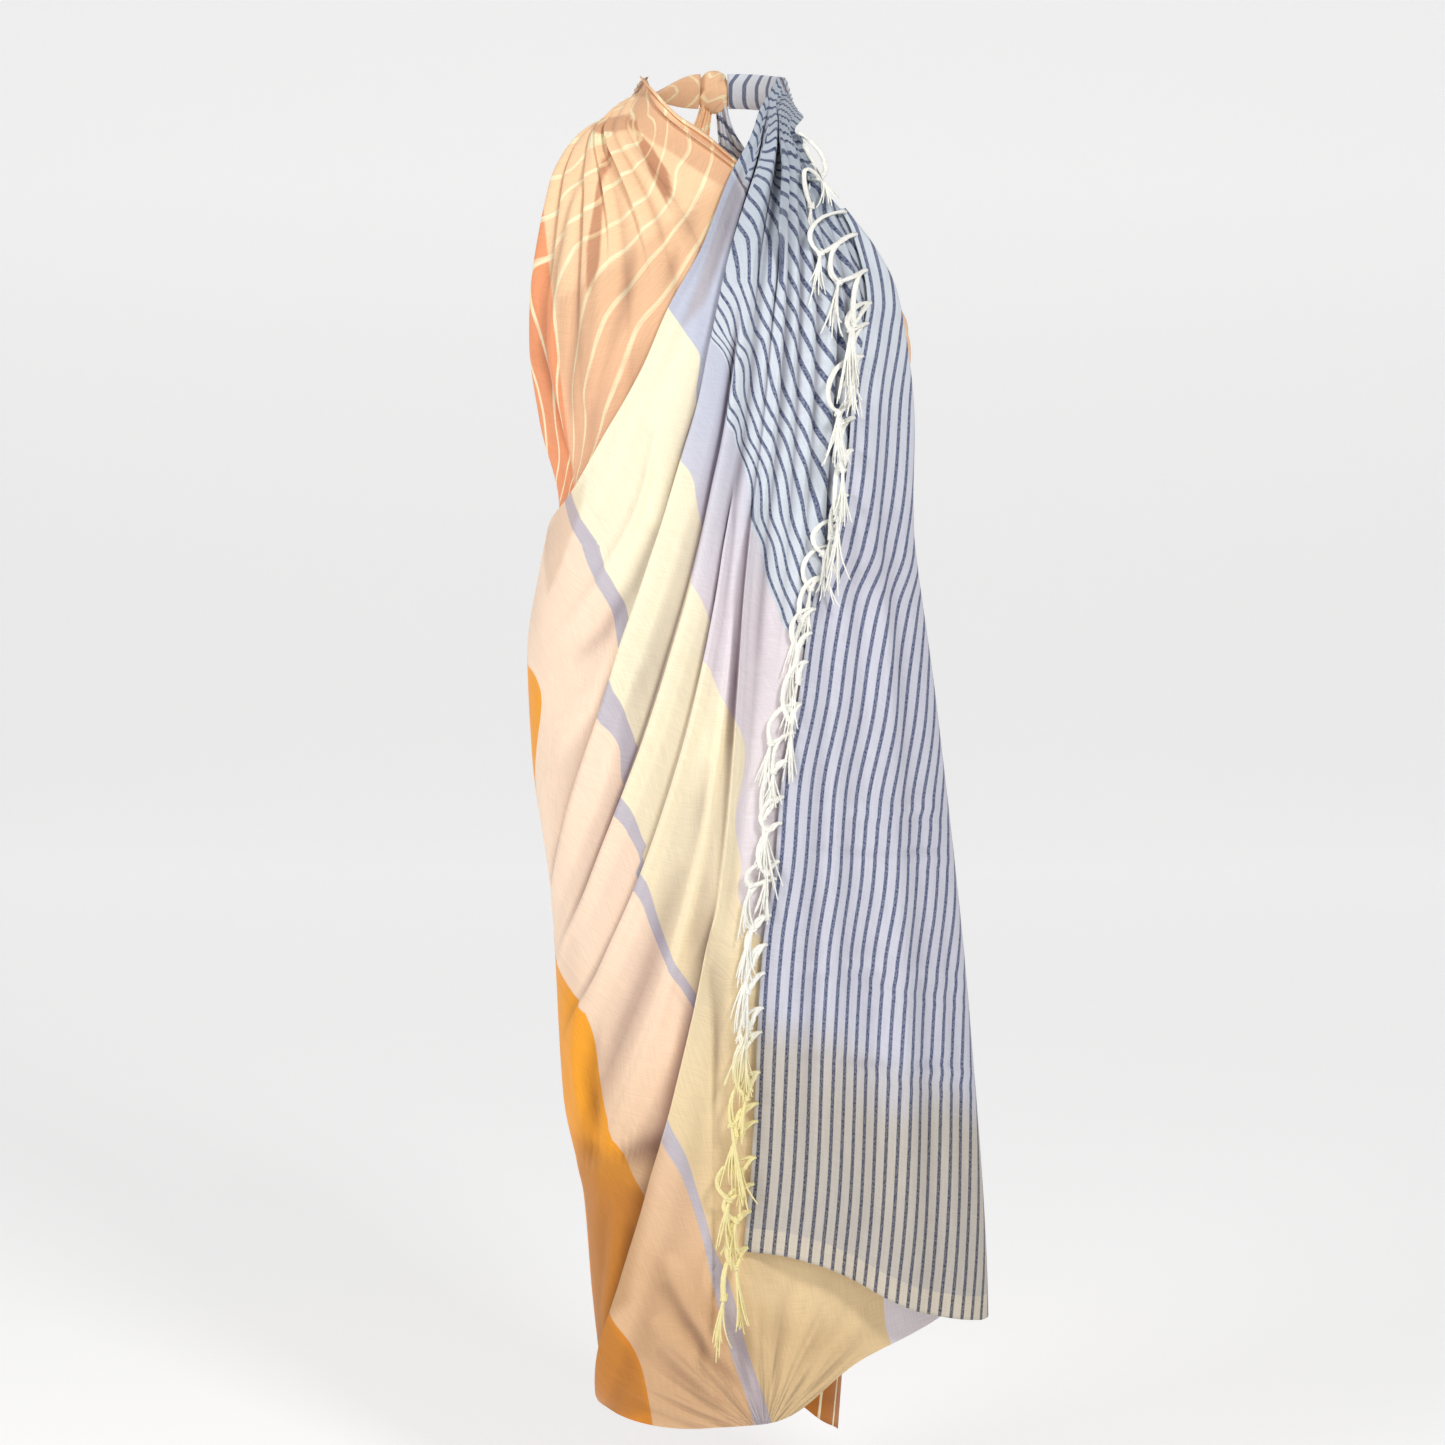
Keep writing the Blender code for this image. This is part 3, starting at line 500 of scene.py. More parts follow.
        # Slubs along both threads and larger unevenness as tone; threads as sin x sin y and soft
        # creases as bump.
        slubs = self.maths("ADD", self.noise(1.0, 1.0, (900, 35)), self.noise(1.0, 1.0, (40, 1100)))
        slubs = self.range(slubs, 0.7, 1.3, 1 - weaveLook["uneven"], 1 + weaveLook["uneven"], "LINEAR")
        cloudy = self.range(self.noise(9.0, 1.0), 0.3, 0.7, 0.975, 1.02, "LINEAR")
        slubs = self.maths("MULTIPLY", slubs, cloudy)
        grey = self.add("ShaderNodeCombineColor")
        for target in grey.inputs[:3]:
            self.link(slubs, target)
        threads = []
        for place, size in (self.across, weaveLook["weft"]), (self.down, weaveLook["warp"]):
            threads.append(self.maths("SINE", self.maths("MULTIPLY", place, 2 * math.pi / size)))
        normal = self.bump(self.maths("MULTIPLY", *threads), *weaveLook["threadBump"])
        normal = self.bump(self.noise(16.0, 2.0, None, 0.55), *weaveLook["creaseBump"], normal)
        if self.wrinkle:
            normal = self.bump(self.wrinkle, *weaveLook["fanBump"], normal)
        self.link(normal, self.shader.inputs["Normal"])
        return self.mix(1.0, tint, grey.outputs[0], "MULTIPLY")

    def fan(self, tint, place, reach, amount=0.32):
        # Fine wrinkles that run out from a pinched place: noise of the direction from it, with little
        # change along them, fading out at the reach. They are bump and painted shade in their troughs.
        across, above = (self.maths("SUBTRACT", a, b) for a, b in zip((self.side, self.height), place))
        squares = [self.maths("MULTIPLY", value, value) for value in (across, above)]
        far = self.maths("SQRT", self.maths("ADD", *squares))
        join = self.add("ShaderNodeCombineXYZ")
        self.link(self.maths("MULTIPLY", self.maths("ARCTAN2", across, above), 6.0), join.inputs[0])
        self.link(self.maths("MULTIPLY", far, 6.0), join.inputs[1])
        folds = self.noise(1.6, 1.0, source=join.outputs[0])
        share = self.range(far, reach, 0.35 * reach)
        self.wrinkle = self.maths("MULTIPLY", folds, share)
        troughShade = self.maths("MULTIPLY", self.range(folds, 0.50, 0.36), share)
        return self.mix(self.maths("MULTIPLY", troughShade, amount), tint, shade["shadow"], "MULTIPLY")

    def finish(self, tint, roughness=0.82, sheen=0.25):
        # Gives the cloth its colour and a matt surface with a little sheen.
        for socket, value in {"Base Color": tint, "Roughness": roughness, "Sheen Weight": sheen,
                              "Sheen Roughness": 0.45, "Specular IOR Level": 0.25}.items():
            self.link(value, self.shader.inputs[socket])
        print("finish", self.material.name)
        return self.material


# Widths of the threads, and strength and depth of each bump.
weaveLook = {"weft": 0.0011, "warp": 0.0009, "uneven": 0.07, "threadBump": (0.16, 0.0003),
             "creaseBump": (0.22, 0.004), "fanBump": (0.8, 0.010), "fanPlace": (0.050, -1.318),
             "fanReach": 0.17}
# Distances along the cloth from its fringed end, at which its colours change.
band = {"navyEnd": 0.264, "lavenderEnd": 0.40, "creamEnd": 0.55, "stripeEnd": 0.5652, "paleEnd": 0.70,
        "pitch": 0.012, "navyWidth": 0.0037}
# The same from the cut peach end.
innerBands = {"pitch": 0.026, "lineWidth": 0.0036, "saffronStart": 0.50, "lastLine": 0.637}
# Colours of the cloth. Where a colour has upper and lower forms the lower is partly painted shade, the
# upper cream is partly a painted highlight, the colours for layers behind hold painted shade too, and
# shadow is the painted shade of hollows and wrinkles.
shade = {name: colour(*tint) for name, tint in {
    "blueHigh": (214, 220, 228), "blueEnd": (208, 208, 220), "blueLow": (198, 190, 180),
    "navy": (72, 82, 118), "navyLow": (66, 70, 90), "hemBand": (214, 203, 186),
    "lavenderHigh": (200, 203, 218), "lavenderLow": (232, 222, 226), "stripe": (200, 192, 200),
    "creamHigh": (254, 243, 212), "creamLow": (236, 206, 158),
    "palePeach": (255, 226, 200), "palePeachLow": (230, 188, 146),
    "saffron": (250, 166, 40), "saffronLow": (226, 140, 38), "saffronUnder": (190, 112, 30),
    "peach": (254, 212, 168), "peachDeep": (246, 194, 156), "peachLayersAndShade": (192, 130, 96),
    "salmon": (244, 150, 100), "yellowLine": (255, 244, 202), "yellowLayersAndShade": (226, 186, 140),
    "behindAndShade": (160, 112, 60), "shadow": (164, 152, 160), "nearNeck": (218, 222, 226),
    "yarn": (252, 251, 244), "yarnLow": (250, 236, 170), "yarnDeep": (225, 218, 200),
    "floor": (206, 206, 206),
}.items()}


def blockedCotton():
    # The outer front: navy stripes on light blue, then lavender, cream, one lavender stripe, pale peach and
    # saffron, all counted from the fringed end, and the fan of wrinkles at the hem. Their colours change
    # with height partly as painted light: a painted highlight on the cream high up, painted shade on the
    # lavender near the neck, and painted shade on the others lower down.
    nodes = Nodes("blocked cotton")
    # Upper to lower colours: partly dye, partly painted shade lower down; the lavender is shaded towards
    # the neck and the cream's upper colour is a painted highlight.
    blue = nodes.mix(nodes.fall(-0.35, -1.15), shade["blueHigh"], shade["blueLow"])
    lavender = nodes.mix(nodes.fall(-0.25, -0.55), shade["lavenderHigh"], shade["lavenderLow"])
    cream = nodes.mix(nodes.fall(-0.45, -1.25), shade["creamHigh"], shade["creamLow"])
    pale = nodes.mix(nodes.fall(-0.76, -1.20), shade["palePeach"], shade["palePeachLow"])
    saffron = nodes.mix(nodes.fall(-1.0, -1.1), shade["saffron"], shade["saffronLow"])
    tint = nodes.mix(nodes.navyStripes(), blue, shade["navy"])
    for edge, following in {"navyEnd": lavender, "lavenderEnd": cream, "creamEnd": shade["stripe"],
                            "stripeEnd": pale, "paleEnd": saffron}.items():
        tint = nodes.mix(nodes.beyond(nodes.across, band[edge]), tint, following)
    # Towards the colour behind where more layers show through, and painted shade where folds shade the
    # cloth.
    tint = nodes.layers(tint, nodes.mix(0.55, tint, shade["behindAndShade"]))
    # Painted shade near the neck.
    tint = nodes.mix(nodes.fall(-0.26, -0.06), tint, shade["nearNeck"], "MULTIPLY")
    # Painted shade in the hollows between folds and in the troughs of the fine wrinkles at the hem.
    tint = nodes.fan(nodes.hollowShade(tint), weaveLook["fanPlace"], weaveLook["fanReach"])
    return nodes.finish(nodes.weave(tint))


def stripedCotton():
    # The striped end: navy on light blue, beige and darker below an uneven slanting level, partly for the
    # layers behind it and partly as painted shade, with a paler turned hem. It is a little darker lower
    # down and between its folds, which is painted shade.
    nodes = Nodes("striped cotton")
    uneven = nodes.maths("MULTIPLY", nodes.maths("SUBTRACT", nodes.noise(6.0, 1.0), 0.5), 0.16)
    slant = nodes.maths("MULTIPLY", nodes.side, 0.45)
    level = nodes.maths("ADD", nodes.maths("ADD", nodes.height, uneven), slant)
    # Below this level: beige and darker navy, partly the layers behind, partly painted shade.
    low = nodes.range(level, -0.850, -0.905)
    base = nodes.mix(nodes.fall(-0.1, -0.5), shade["blueHigh"], shade["blueEnd"])
    base = nodes.mix(low, base, shade["blueLow"])
    base = nodes.mix(nodes.range(nodes.down, 0.0245, 0.0235), base, shade["hemBand"])
    navy = nodes.mix(low, shade["navy"], shade["navyLow"])
    return nodes.finish(nodes.weave(nodes.hollowShade(nodes.mix(nodes.navyStripes(), base, navy))))


def peachCotton():
    # The plain end: peach with pale yellow weft lines, salmon at its left edge, saffron beyond. Painted
    # shade darkens it lower down, at the hem, between folds and under the layer above, as well as the
    # layers that show through.
    nodes = Nodes("peach cotton")
    # Deeper lower down: partly painted shade.
    peach = nodes.mix(nodes.fall(-0.1, -0.45), shade["peach"], shade["peachDeep"])
    aside = nodes.maths("ADD", nodes.side, nodes.maths("MULTIPLY", nodes.height, 0.11))
    aside = nodes.range(aside, -0.1775, -0.1800)
    peach = nodes.mix(nodes.maths("MULTIPLY", aside, 0.85), peach, shade["salmon"])
    # Darker at the hem, under the outer front: painted shade.
    saffron = nodes.mix(nodes.fall(-1.15, -1.30), shade["saffronLow"], shade["saffronUnder"])
    tint = nodes.mix(nodes.beyond(nodes.across, innerBands["saffronStart"]), peach, saffron)
    # Deepened where layers show through, and painted shade where folds and the layer above shade it.
    tint = nodes.layers(tint, shade["peachLayersAndShade"])
    lined = nodes.layers(shade["yellowLine"], shade["yellowLayersAndShade"])
    return nodes.finish(nodes.weave(nodes.hollowShade(nodes.mix(nodes.yellowLines(), tint, lined))))


def saffronCotton():
    # The back: saffron. The peach with its yellow lines comes round the right side and ends there, and the
    # pale peach comes round the left side. It darkens lower down and towards the right, to meet the inner
    # front's shaded hem, partly as painted shade, with painted shade between its creases.
    nodes = Nodes("saffron cotton")
    # Darker lower down and on the right: partly painted shade.
    under = nodes.mix(nodes.fall(-1.15, -1.30), shade["saffronLow"], shade["saffronUnder"])
    tint = nodes.mix(nodes.fall(-0.9, -1.1), shade["saffron"], shade["saffronLow"])
    tint = nodes.mix(nodes.range(nodes.side, -0.02, 0.12), tint, under)
    tint = nodes.mix(nodes.beyond(nodes.across, innerBands["saffronStart"]), shade["peachDeep"], tint)
    last = innerBands["lastLine"]
    shown = nodes.range(nodes.across, last, last + 0.001, 1.0, 0.0)
    lines = nodes.maths("MULTIPLY", nodes.yellowLines(), shown)
    tint = nodes.mix(lines, tint, shade["yellowLine"])
    pale = nodes.mix(nodes.fall(-0.76, -1.20), shade["palePeach"], shade["palePeachLow"])
    tint = nodes.mix(nodes.beyond(nodes.attribute("fromFringe"), band["paleEnd"]), pale, tint)
    return nodes.finish(nodes.weave(nodes.hollowShade(tint)))


def yarnCotton():
    # White yarn, pale yellow low down, with fine fibres.
    nodes = Nodes("fringe yarn")
    tint = nodes.mix(nodes.fall(-0.88, -0.98), shade["yarn"], shade["yarnLow"])
    fibres = nodes.noise(900.0, 2.0)
    tint = nodes.mix(nodes.range(fibres, 0.3, 0.7, 0.0, 0.25), tint, shade["yarnDeep"])
    nodes.link(nodes.bump(fibres, 0.4, 0.0003), nodes.shader.inputs["Normal"])
    return nodes.finish(tint, 0.9, 0.1)


# Outer front

outerGuides = [
    ("selvedge", 5, [(66, -14), (47, 4), (26, 28), (7, 80), (-4, 160), (-13, 212),
                     (-22, 274), (-41, 348), (-64, 398), (-90, 426)]),
    ("long fold", 4, [(68, -10), (45, 12), (20, 58), (6, 150), (0, 236), (-4, 296),
                      (-15, 390), (-30, 542), (-46, 648), (-68, 732), (-90, 775)]),
    ("waist swag", 5, [(71, -5), (44, 17), (24, 60), (12, 170), (8, 302), (4, 400),
                       (-2, 510), (-16, 664), (-43, 814), (-78, 906), (-90, 930)]),
    ("thigh fold", 8, [(74, 0), (43, 22), (27, 60), (17, 208), (13, 348), (8, 492),
                       (1, 780), (-13, 978), (-29, 1096), (-50, 1204), (-79, 1300), (-90, 1312)]),
    ("left hem", 8, [(76, 5), (43, 27), (30, 60), (24, 208), (22, 396), (15, 588),
                     (10, 780), (4, 1026), (-6, 1178), (-34, 1312)]),
    ("middle hem", 8, [(79, 10), (42, 32), (32, 64), (34, 206), (32, 396), (29, 588),
                       (25, 782), (20, 1028), (15, 1178), (10, 1306)]),
    ("right hem", 5, [(82, 15), (41, 38), (36, 68), (45, 206), (50, 396), (46, 590),
                      (43, 786), (40, 984), (37, 1134), (34, 1243)]),
    ("fold", 0, [(84, 20), (46, 38), (38, 52), (36, 90), (43, 120), (52, 160),
                 (57, 196), (60, 260), (62, 320), (62, 700), (62, 1205)]),
]
outerPiece = {
    "rows": 340, "perColumn": 6, "crowding": 1.12,
    "folds": table("column height steep gentle start end lap groove side", [
        (0.6, 0.0020, 0.0040, 0.010, 0.03, 0.40, 0.0000, 0.0000, 1),
        (2.4, 0.0045, 0.0080, 0.014, 0.37, 0.46, 0.0000, 0.0010, 1),
        (5.6, 0.0125, 0.0044, 0.022, 0.05, 0.72, 0.0050, 0.0066, 1),
        (7.8, 0.0085, 0.0036, 0.014, 0.26, 0.78, 0.0034, 0.0050, 1),
        (9.6, 0.0095, 0.0040, 0.020, 0.43, 0.86, 0.0040, 0.0050, 1),
        (9.9, 0.0045, 0.0026, 0.008, 0.12, 0.18, 0.0014, 0.0045, 1),
        (11.6, 0.0060, 0.0180, 0.022, 0.55, 1.05, 0.0000, 0.0000, 1),
        (14.2, 0.0045, 0.0026, 0.008, 0.10, 0.17, 0.0014, 0.0045, 1),
        (14.6, 0.0140, 0.0040, 0.036, 0.82, 1.30, 0.0060, 0.0060, 1),
        (18.0, 0.0075, 0.0030, 0.010, 0.02, 0.14, 0.0024, 0.0070, 1),
        (20.5, 0.0060, 0.0200, 0.026, 0.45, 0.95, 0.0000, 0.0000, 1),
        (26.0, 0.0055, 0.0180, 0.022, 0.55, 1.20, 0.0000, 0.0000, 1),
        (29.6, 0.0080, 0.0036, 0.018, 0.20, 0.55, 0.0024, 0.0055, -1),
        (34.5, 0.0050, 0.0030, 0.010, 0.08, 0.22, 0.0014, 0.0045, 1),
    ]),
    "pleats": {"first": 6, "columns": 4, "height": 0.0090, "steepness": 0.62, "lean": 1.3,
               "roundness": 1.5, "shares": (1.0, 0.7, 1.1, 0.8, 1.0, 0.6, 0.9, 0.75), "fade": (0.16, 0.62),
               "lengths": (1.0, 0.8, 1.25, 1.0, 1.1, 0.8, 1.0, 0.9)},
    # Where more layers show through, and where folds and the layers above cast painted shade, as seen from
    # the front: amount, softness and outline.
    "layers": [
        (0.55, 4, [(26, 70), (34, 90), (12, 150), (-10, 205), (-30, 225), (-14, 180),
                   (8, 110)]),
        (0.80, 7, [(-139, 1060), (-84, 1056), (-40, 1040), (-78, 1210), (-94, 1228),
                   (-74, 1290), (-66, 1330), (-130, 1330)]),
        (0.40, 20, [(150, 1250), (-60, 1160), (-80, 1260), (-70, 1340), (120, 1340)]),
        (0.45, 4, [(-121, 366), (-127, 372), (-155, 470), (-165, 490), (-172, 430), (-146, 392)]),
    ],
    # Creases as seen from the front: height (a trough below 0), width and places.
    "creases": [
        (-3, 5, [(26, 90), (8, 150), (-6, 195), (-14, 220)]),
        (3, 8, [(12, 130), (-6, 190), (-30, 260), (-60, 330)]),
        (-2.8, 6, [(31, 330), (18, 400), (6, 500)]),
        (-2.4, 7, [(48, 360), (46, 450), (40, 560)]),
        (3, 12, [(20, 420), (10, 560), (-10, 700)]),
        (-3, 10, [(-4, 657), (-14, 784), (-24, 850)]),
        (2.8, 12, [(12, 640), (0, 780), (-8, 900), (-14, 1000)]),
        (-2.6, 8, [(-56, 420), (-80, 480), (-110, 530), (-140, 560)]),
        (2.8, 10, [(-44, 440), (-76, 520), (-120, 600), (-160, 650)]),
        (-2.6, 9, [(-70, 560), (-110, 650), (-150, 740), (-170, 790)]),
        (2.2, 9, [(-90, 610), (-120, 700), (-158, 800)]),
        (-2.2, 8, [(-70, 640), (-104, 740), (-150, 850)]),
        (-2.6, 10, [(-30, 760), (-70, 880), (-110, 980), (-130, 1040)]),
        (3, 12, [(-10, 860), (-50, 960), (-90, 1040), (-124, 1080)]),
        (-3.2, 11, [(-142, 1050), (-110, 1058), (-86, 1054), (-44, 1042)]),
        (3.4, 12, [(-142, 1078), (-104, 1086), (-78, 1082), (-48, 1074)]),
        (3, 9, [(-132, 900), (-142, 960), (-136, 1020)]),
        (-2.8, 9, [(-118, 930), (-126, 990), (-118, 1040)]),
        (3, 10, [(-98, 1110), (-104, 1180), (-112, 1250)]),
        (-3, 9, [(-82, 1130), (-88, 1190), (-98, 1240)]),
        (3.8, 8.5, [(44, 1306), (12, 1262), (-22, 1214), (-46, 1160)]),
        (-3.4, 7.5, [(34, 1306), (0, 1272), (-30, 1230), (-52, 1190)]),
        (3.6, 8, [(26, 1312), (-8, 1290), (-36, 1262), (-60, 1226)]),
        (-2.6, 7.5, [(14, 1318), (-14, 1304), (-38, 1286), (-60, 1262)]),
        (-3, 8, [(48, 1304), (28, 1240), (18, 1200), (12, 1150)]),
        (3.6, 8.5, [(54, 1304), (50, 1250), (46, 1196), (44, 1150)]),
        (-3.6, 7.5, [(58, 1304), (66, 1262), (74, 1214), (84, 1180)]),
        (4.2, 8, [(66, 1306), (82, 1262), (96, 1226), (112, 1190)]),
        (-3.6, 7, [(76, 1302), (100, 1268), (122, 1240), (140, 1206)]),
        (3.8, 7.5, [(84, 1298), (112, 1272), (138, 1252), (158, 1226)]),
    ],
    # Cloth hidden under each lapped fold: the fold's column, then (drop, width) down the fold.
    "hidden": [
        (5.33, [(20, 0), (60, 95), (100, 105), (270, 67), (520, 24), (750, 0)]),
        (7.50, [(240, 0), (300, 20), (380, 34), (600, 23), (800, 0)]),
        (9.33, [(360, 0), (440, 37), (650, 20), (850, 0)]),
        (14.50, [(720, 0), (850, 40), (900, 63), (1050, 63), (1310, 50)]),
        (17.83, [(10, 0), (40, 20), (100, 30), (150, 20), (190, 0)]),
        (29.67, [(200, 0), (280, 10), (400, 24), (500, 24), (580, 0)]),
    ],
    # Edges of colour as seen from the front: distance from the fringed end, the number of lapped
    # folds that lie to the left, and places.
    "edges": [
        (0.258, 0, [(23, 81), (31, 92)]),
        (0.234, 0, [(28, 57), (38, 64)]),
        (0.186, 0, [(56, 10)]),
        (0.258, 2, [(8, 294)]),
        (0.258, 5, [(22, 334), (38, 386), (38, 416), (49, 441), (53, 470), (72, 523)]),
        (0.120, 4, [(65, 101)]),
        (0.138, 1, [(46, 100)]),
        (0.154, 1, [(34, 100)]),
        (0.096, 1, [(56, 60)]),
        (0.078, 1, [(62, 12)]),
        (0.042, 5, [(77, 57), (101, 80), (112, 94)]),
        (0.024, 6, [(70, 25), (86, 50)]),
        (0.066, 5, [(76, 84), (90, 98), (99, 123), (119, 151), (135, 175)]),
        (0.078, 5, [(73, 96), (87, 112), (95, 128), (108, 159), (130, 191)]),
        (0.090, 5, [(98, 159), (119, 194)]),
        (0.102, 6, [(123, 240)]),
        (0.138, 5, [(89, 240)]),
        (0.162, 5, [(68, 240)]),
        (0.186, 3, [(47, 240)]),
        (0.210, 3, [(23, 240)]),
        (0.246, 3, [(27, 336)]),
        (0.210, 5, [(57, 336)]),
        (0.186, 5, [(79, 336)]),
        (0.174, 5, [(89, 336)]),
        (0.234, 5, [(62, 430)]),
        (0.210, 5, [(80, 430)]),
        (0.246, 5, [(74, 500)]),
        (band["lavenderEnd"], 0, [(-44, 210), (-30, 230), (-14, 255)]),
        (band["lavenderEnd"], 1, [(-30, 353), (-25, 362)]),
        (band["lavenderEnd"], 2, [(-38, 415), (-31, 427)]),
        (band["lavenderEnd"], 3, [(-43, 484), (-34, 500), (-9, 552), (29, 637),
                                  (21, 715), (25, 742), (37, 770), (39, 790)]),
        (band["lavenderEnd"], 4, [(176, 1243)]),
        (band["creamEnd"], 0, [(-139, 400), (-110, 460), (-84, 520)]),
        (band["creamEnd"], 1, [(-99, 555), (-94, 590)]),
        (band["creamEnd"], 2, [(-114, 620), (-99, 645)]),
        (band["creamEnd"], 3, [(-119, 670), (-74, 750), (-49, 840), (-14, 900)]),
        (band["creamEnd"], 4, [(-39, 1010), (-16, 1100), (18, 1200), (51, 1312)]),
        (band["paleEnd"], 0, [(-187, 559), (-173, 589)]),
        (band["paleEnd"], 3, [(-165, 850), (-136, 903), (-122, 940), (-114, 1000), (-94, 1055),
                              (-66, 1115)]),
        (band["paleEnd"], 4, [(-94, 1220), (-74, 1280), (-66, 1320)]),
    ],
}


def frontSheet(spec, guides, ownLift, outer=False):
    # A sheet over its guides with folds, pleats and creases. The outer front's are lower towards
    # the neck, by 0.4 to 1 of their height, and under the striped end, where 0.3 of it is left.
    angle, drop, column = guideGrid(guides, spec["rows"], spec["perColumn"], spec["crowding"])
    lift = cloth["neckLift"] + (ownLift - cloth["neckLift"]) * ease(drop, 0.0, cloth["neckReach"])
    flat = surface(angle, drop, lift, outer=outer)[0]
    relief, aside = lappedFolds(spec["folds"], flat, drop, column, spec["perColumn"])
    relief = relief + pleats(spec["pleats"], flat, drop, column, spec["perColumn"])
    relief = relief + strokes(seenStrokes(spec["creases"], ownLift, outer), angle, drop,
                              turnLength(angle, drop, lift, outer))
    if outer:
        near = ease(drop, -0.01, 0.05) * 0.6 + 0.4
        edge = smooth(drop, endEdge["drop"], endEdge["angle"])
        covered = ease(np.degrees(angle), edge - 1, edge + 5) * ease(drop, 0.10, 0.14)
        relief, aside = relief * near * (1 - 0.7 * covered), aside * near
    points, out, _ = surface(angle, drop, lift, relief, aside, outer)
    return {"points": points, "out": out, "angle": angle, "drop": drop, "column": column, "relief": relief}


def shownLayersAndShade(patches, lift, outer, grid):
    # The largest of the patches' own amounts at each point.
    layers = 0 * grid["drop"]
    for amount, soft, outline in patches:
        inside = patch(placeOnForm(outline, lift, outer), grid["angle"], grid["drop"], soft / 1000)
        layers = np.maximum(layers, amount * inside)
    return layers


def hiddenWidth(widths, drop):
    # The width hidden under a fold, straight between the given drops.
    return np.interp(drop, *(np.array(widths).T / 1000))


def outerPattern(grid, foldWidths):
    # Distance from the fringed end at each corner of each cell: a thin plate through the seen
    # edges of colour with the hidden strips taken out, and these added back left of each fold.
    spec = outerPiece
    places, values = [], []
    for value, right, line in spec["edges"]:
        places.append(placeOnForm(line, cloth["outerLift"], True))
        drop = places[-1][:, 1]
        hidden = [hiddenWidth(widths, drop) for _, widths in spec["hidden"][right:]]
        values.append(value - sum(hidden, 0 * drop))
    rows = (np.linspace(0.35, 1, 8) * (len(foldWidths) - 1)).astype(int)
    places.append(np.stack([grid["angle"][rows, -1], grid["drop"][rows, -1]], -1))
    values.append(foldWidths[rows])
    field = thinPlate(np.concatenate(places), np.concatenate(values), grid["angle"], grid["drop"])
    across, down, drop = (cellCorners(part) for part in (field, distance(grid["points"]), grid["drop"]))
    middle = (grid["column"][:, :-1] + grid["column"][:, 1:]) / 2
    for column, widths in spec["hidden"]:
        across = across + hiddenWidth(widths, drop) * (middle < column)[..., None]
    return np.stack([nearNeck(grid, across, down, drop), down], -1)


def nearNeck(grid, across, down, drop):
    # Above the reference drop each pleat counts from a whole number of pitches at the top, down
    # its length and away from its middle, so the stripes meet across the pleats in a zigzag.
    spec = outerPiece["pleats"]
    middle = (grid["column"][0, :-1] + grid["column"][0, 1:]) / 2
    which = np.floor((middle - spec["first"]) / spec["columns"])
    centre = spec["first"] + (which + 0.5) * spec["columns"]
    cell = np.clip((centre * outerPiece["perColumn"]).astype(int), 0, len(middle) - 1)
    row = (grid["drop"][:-1, :-1] < 0.095).argmin(axis=0)
    unit = spacing(grid["points"], outerPiece["perColumn"])[:-1, :-1, None]
    corner = grid["column"][0, :-1][:, None] + np.array([0, 1, 1, 0]) / outerPiece["perColumn"]
    start = across[row[cell], cell, 0] - 0.95 * down[row[cell], cell, 0]
    start = np.round(start / band["pitch"]) * band["pitch"]
    own = start[None, :, None] + 0.95 * down - 0.5 * np.abs(corner - centre[:, None])[None] * unit
    share = 1 - ease(drop, 0.045, 0.105)
    return across * (1 - share) + own * share


# Striped end

endEdge = table("drop angle gap", [
    (0.118, 41.5, 0.0040),
    (0.140, 44, 0.0045),
    (0.206, 46, 0.0050),
    (0.234, 44, 0.0050),
    (0.302, 40, 0.0060),
    (0.368, 39, 0.0070),
    (0.434, 35, 0.0080),
    (0.480, 28, 0.0080),
    (0.530, 24, 0.0085),
    (0.584, 21, 0.0095),
    (0.664, 16, 0.012),
    (0.742, 14, 0.013),
    (0.820, 11, 0.014),
    (0.900, 9.5, 0.014),
    (1.030, 8, 0.013),
    (1.130, 6, 0.012),
])
endHem = table("angle drop", [
    (6, 1.126), (15, 1.131), (22, 1.140), (28, 1.152),
    (38, 1.177), (45, 1.190), (56, 1.201), (62, 1.205),
])
endPiece = {
    "capColumns": 22, "returnColumns": 130, "waves": 18.0, "waveHeight": 0.0022, "rows": 240,
    "creases": [
        (4.5, 9, [(168, 220), (158, 360), (160, 520), (170, 700)]),
        (-3.6, 8, [(156, 260), (142, 400), (142, 560), (140, 700)]),
        (4, 10, [(128, 480), (118, 640), (116, 820), (118, 1000)]),
        (-3.6, 10, [(110, 600), (98, 760), (94, 940), (90, 1120)]),
        (4, 12, [(170, 700), (176, 860), (182, 1020), (186, 1160)]),
        (-3.6, 12, [(148, 760), (150, 920), (152, 1140)]),
        (2.6, 12, [(80, 780), (70, 900), (66, 1060), (60, 1130)]),
        (-3, 12, [(206, 740), (218, 900), (228, 1060), (232, 1180)]),
        (2, 6, [(100, 706), (150, 712), (210, 700)]),
        (-1.8, 6, [(90, 744), (150, 752), (220, 744)]),
        (1.8, 6, [(76, 868), (150, 862), (230, 880)]),
        (-1.6, 6, [(70, 956), (150, 964), (236, 960)]),
    ],
}


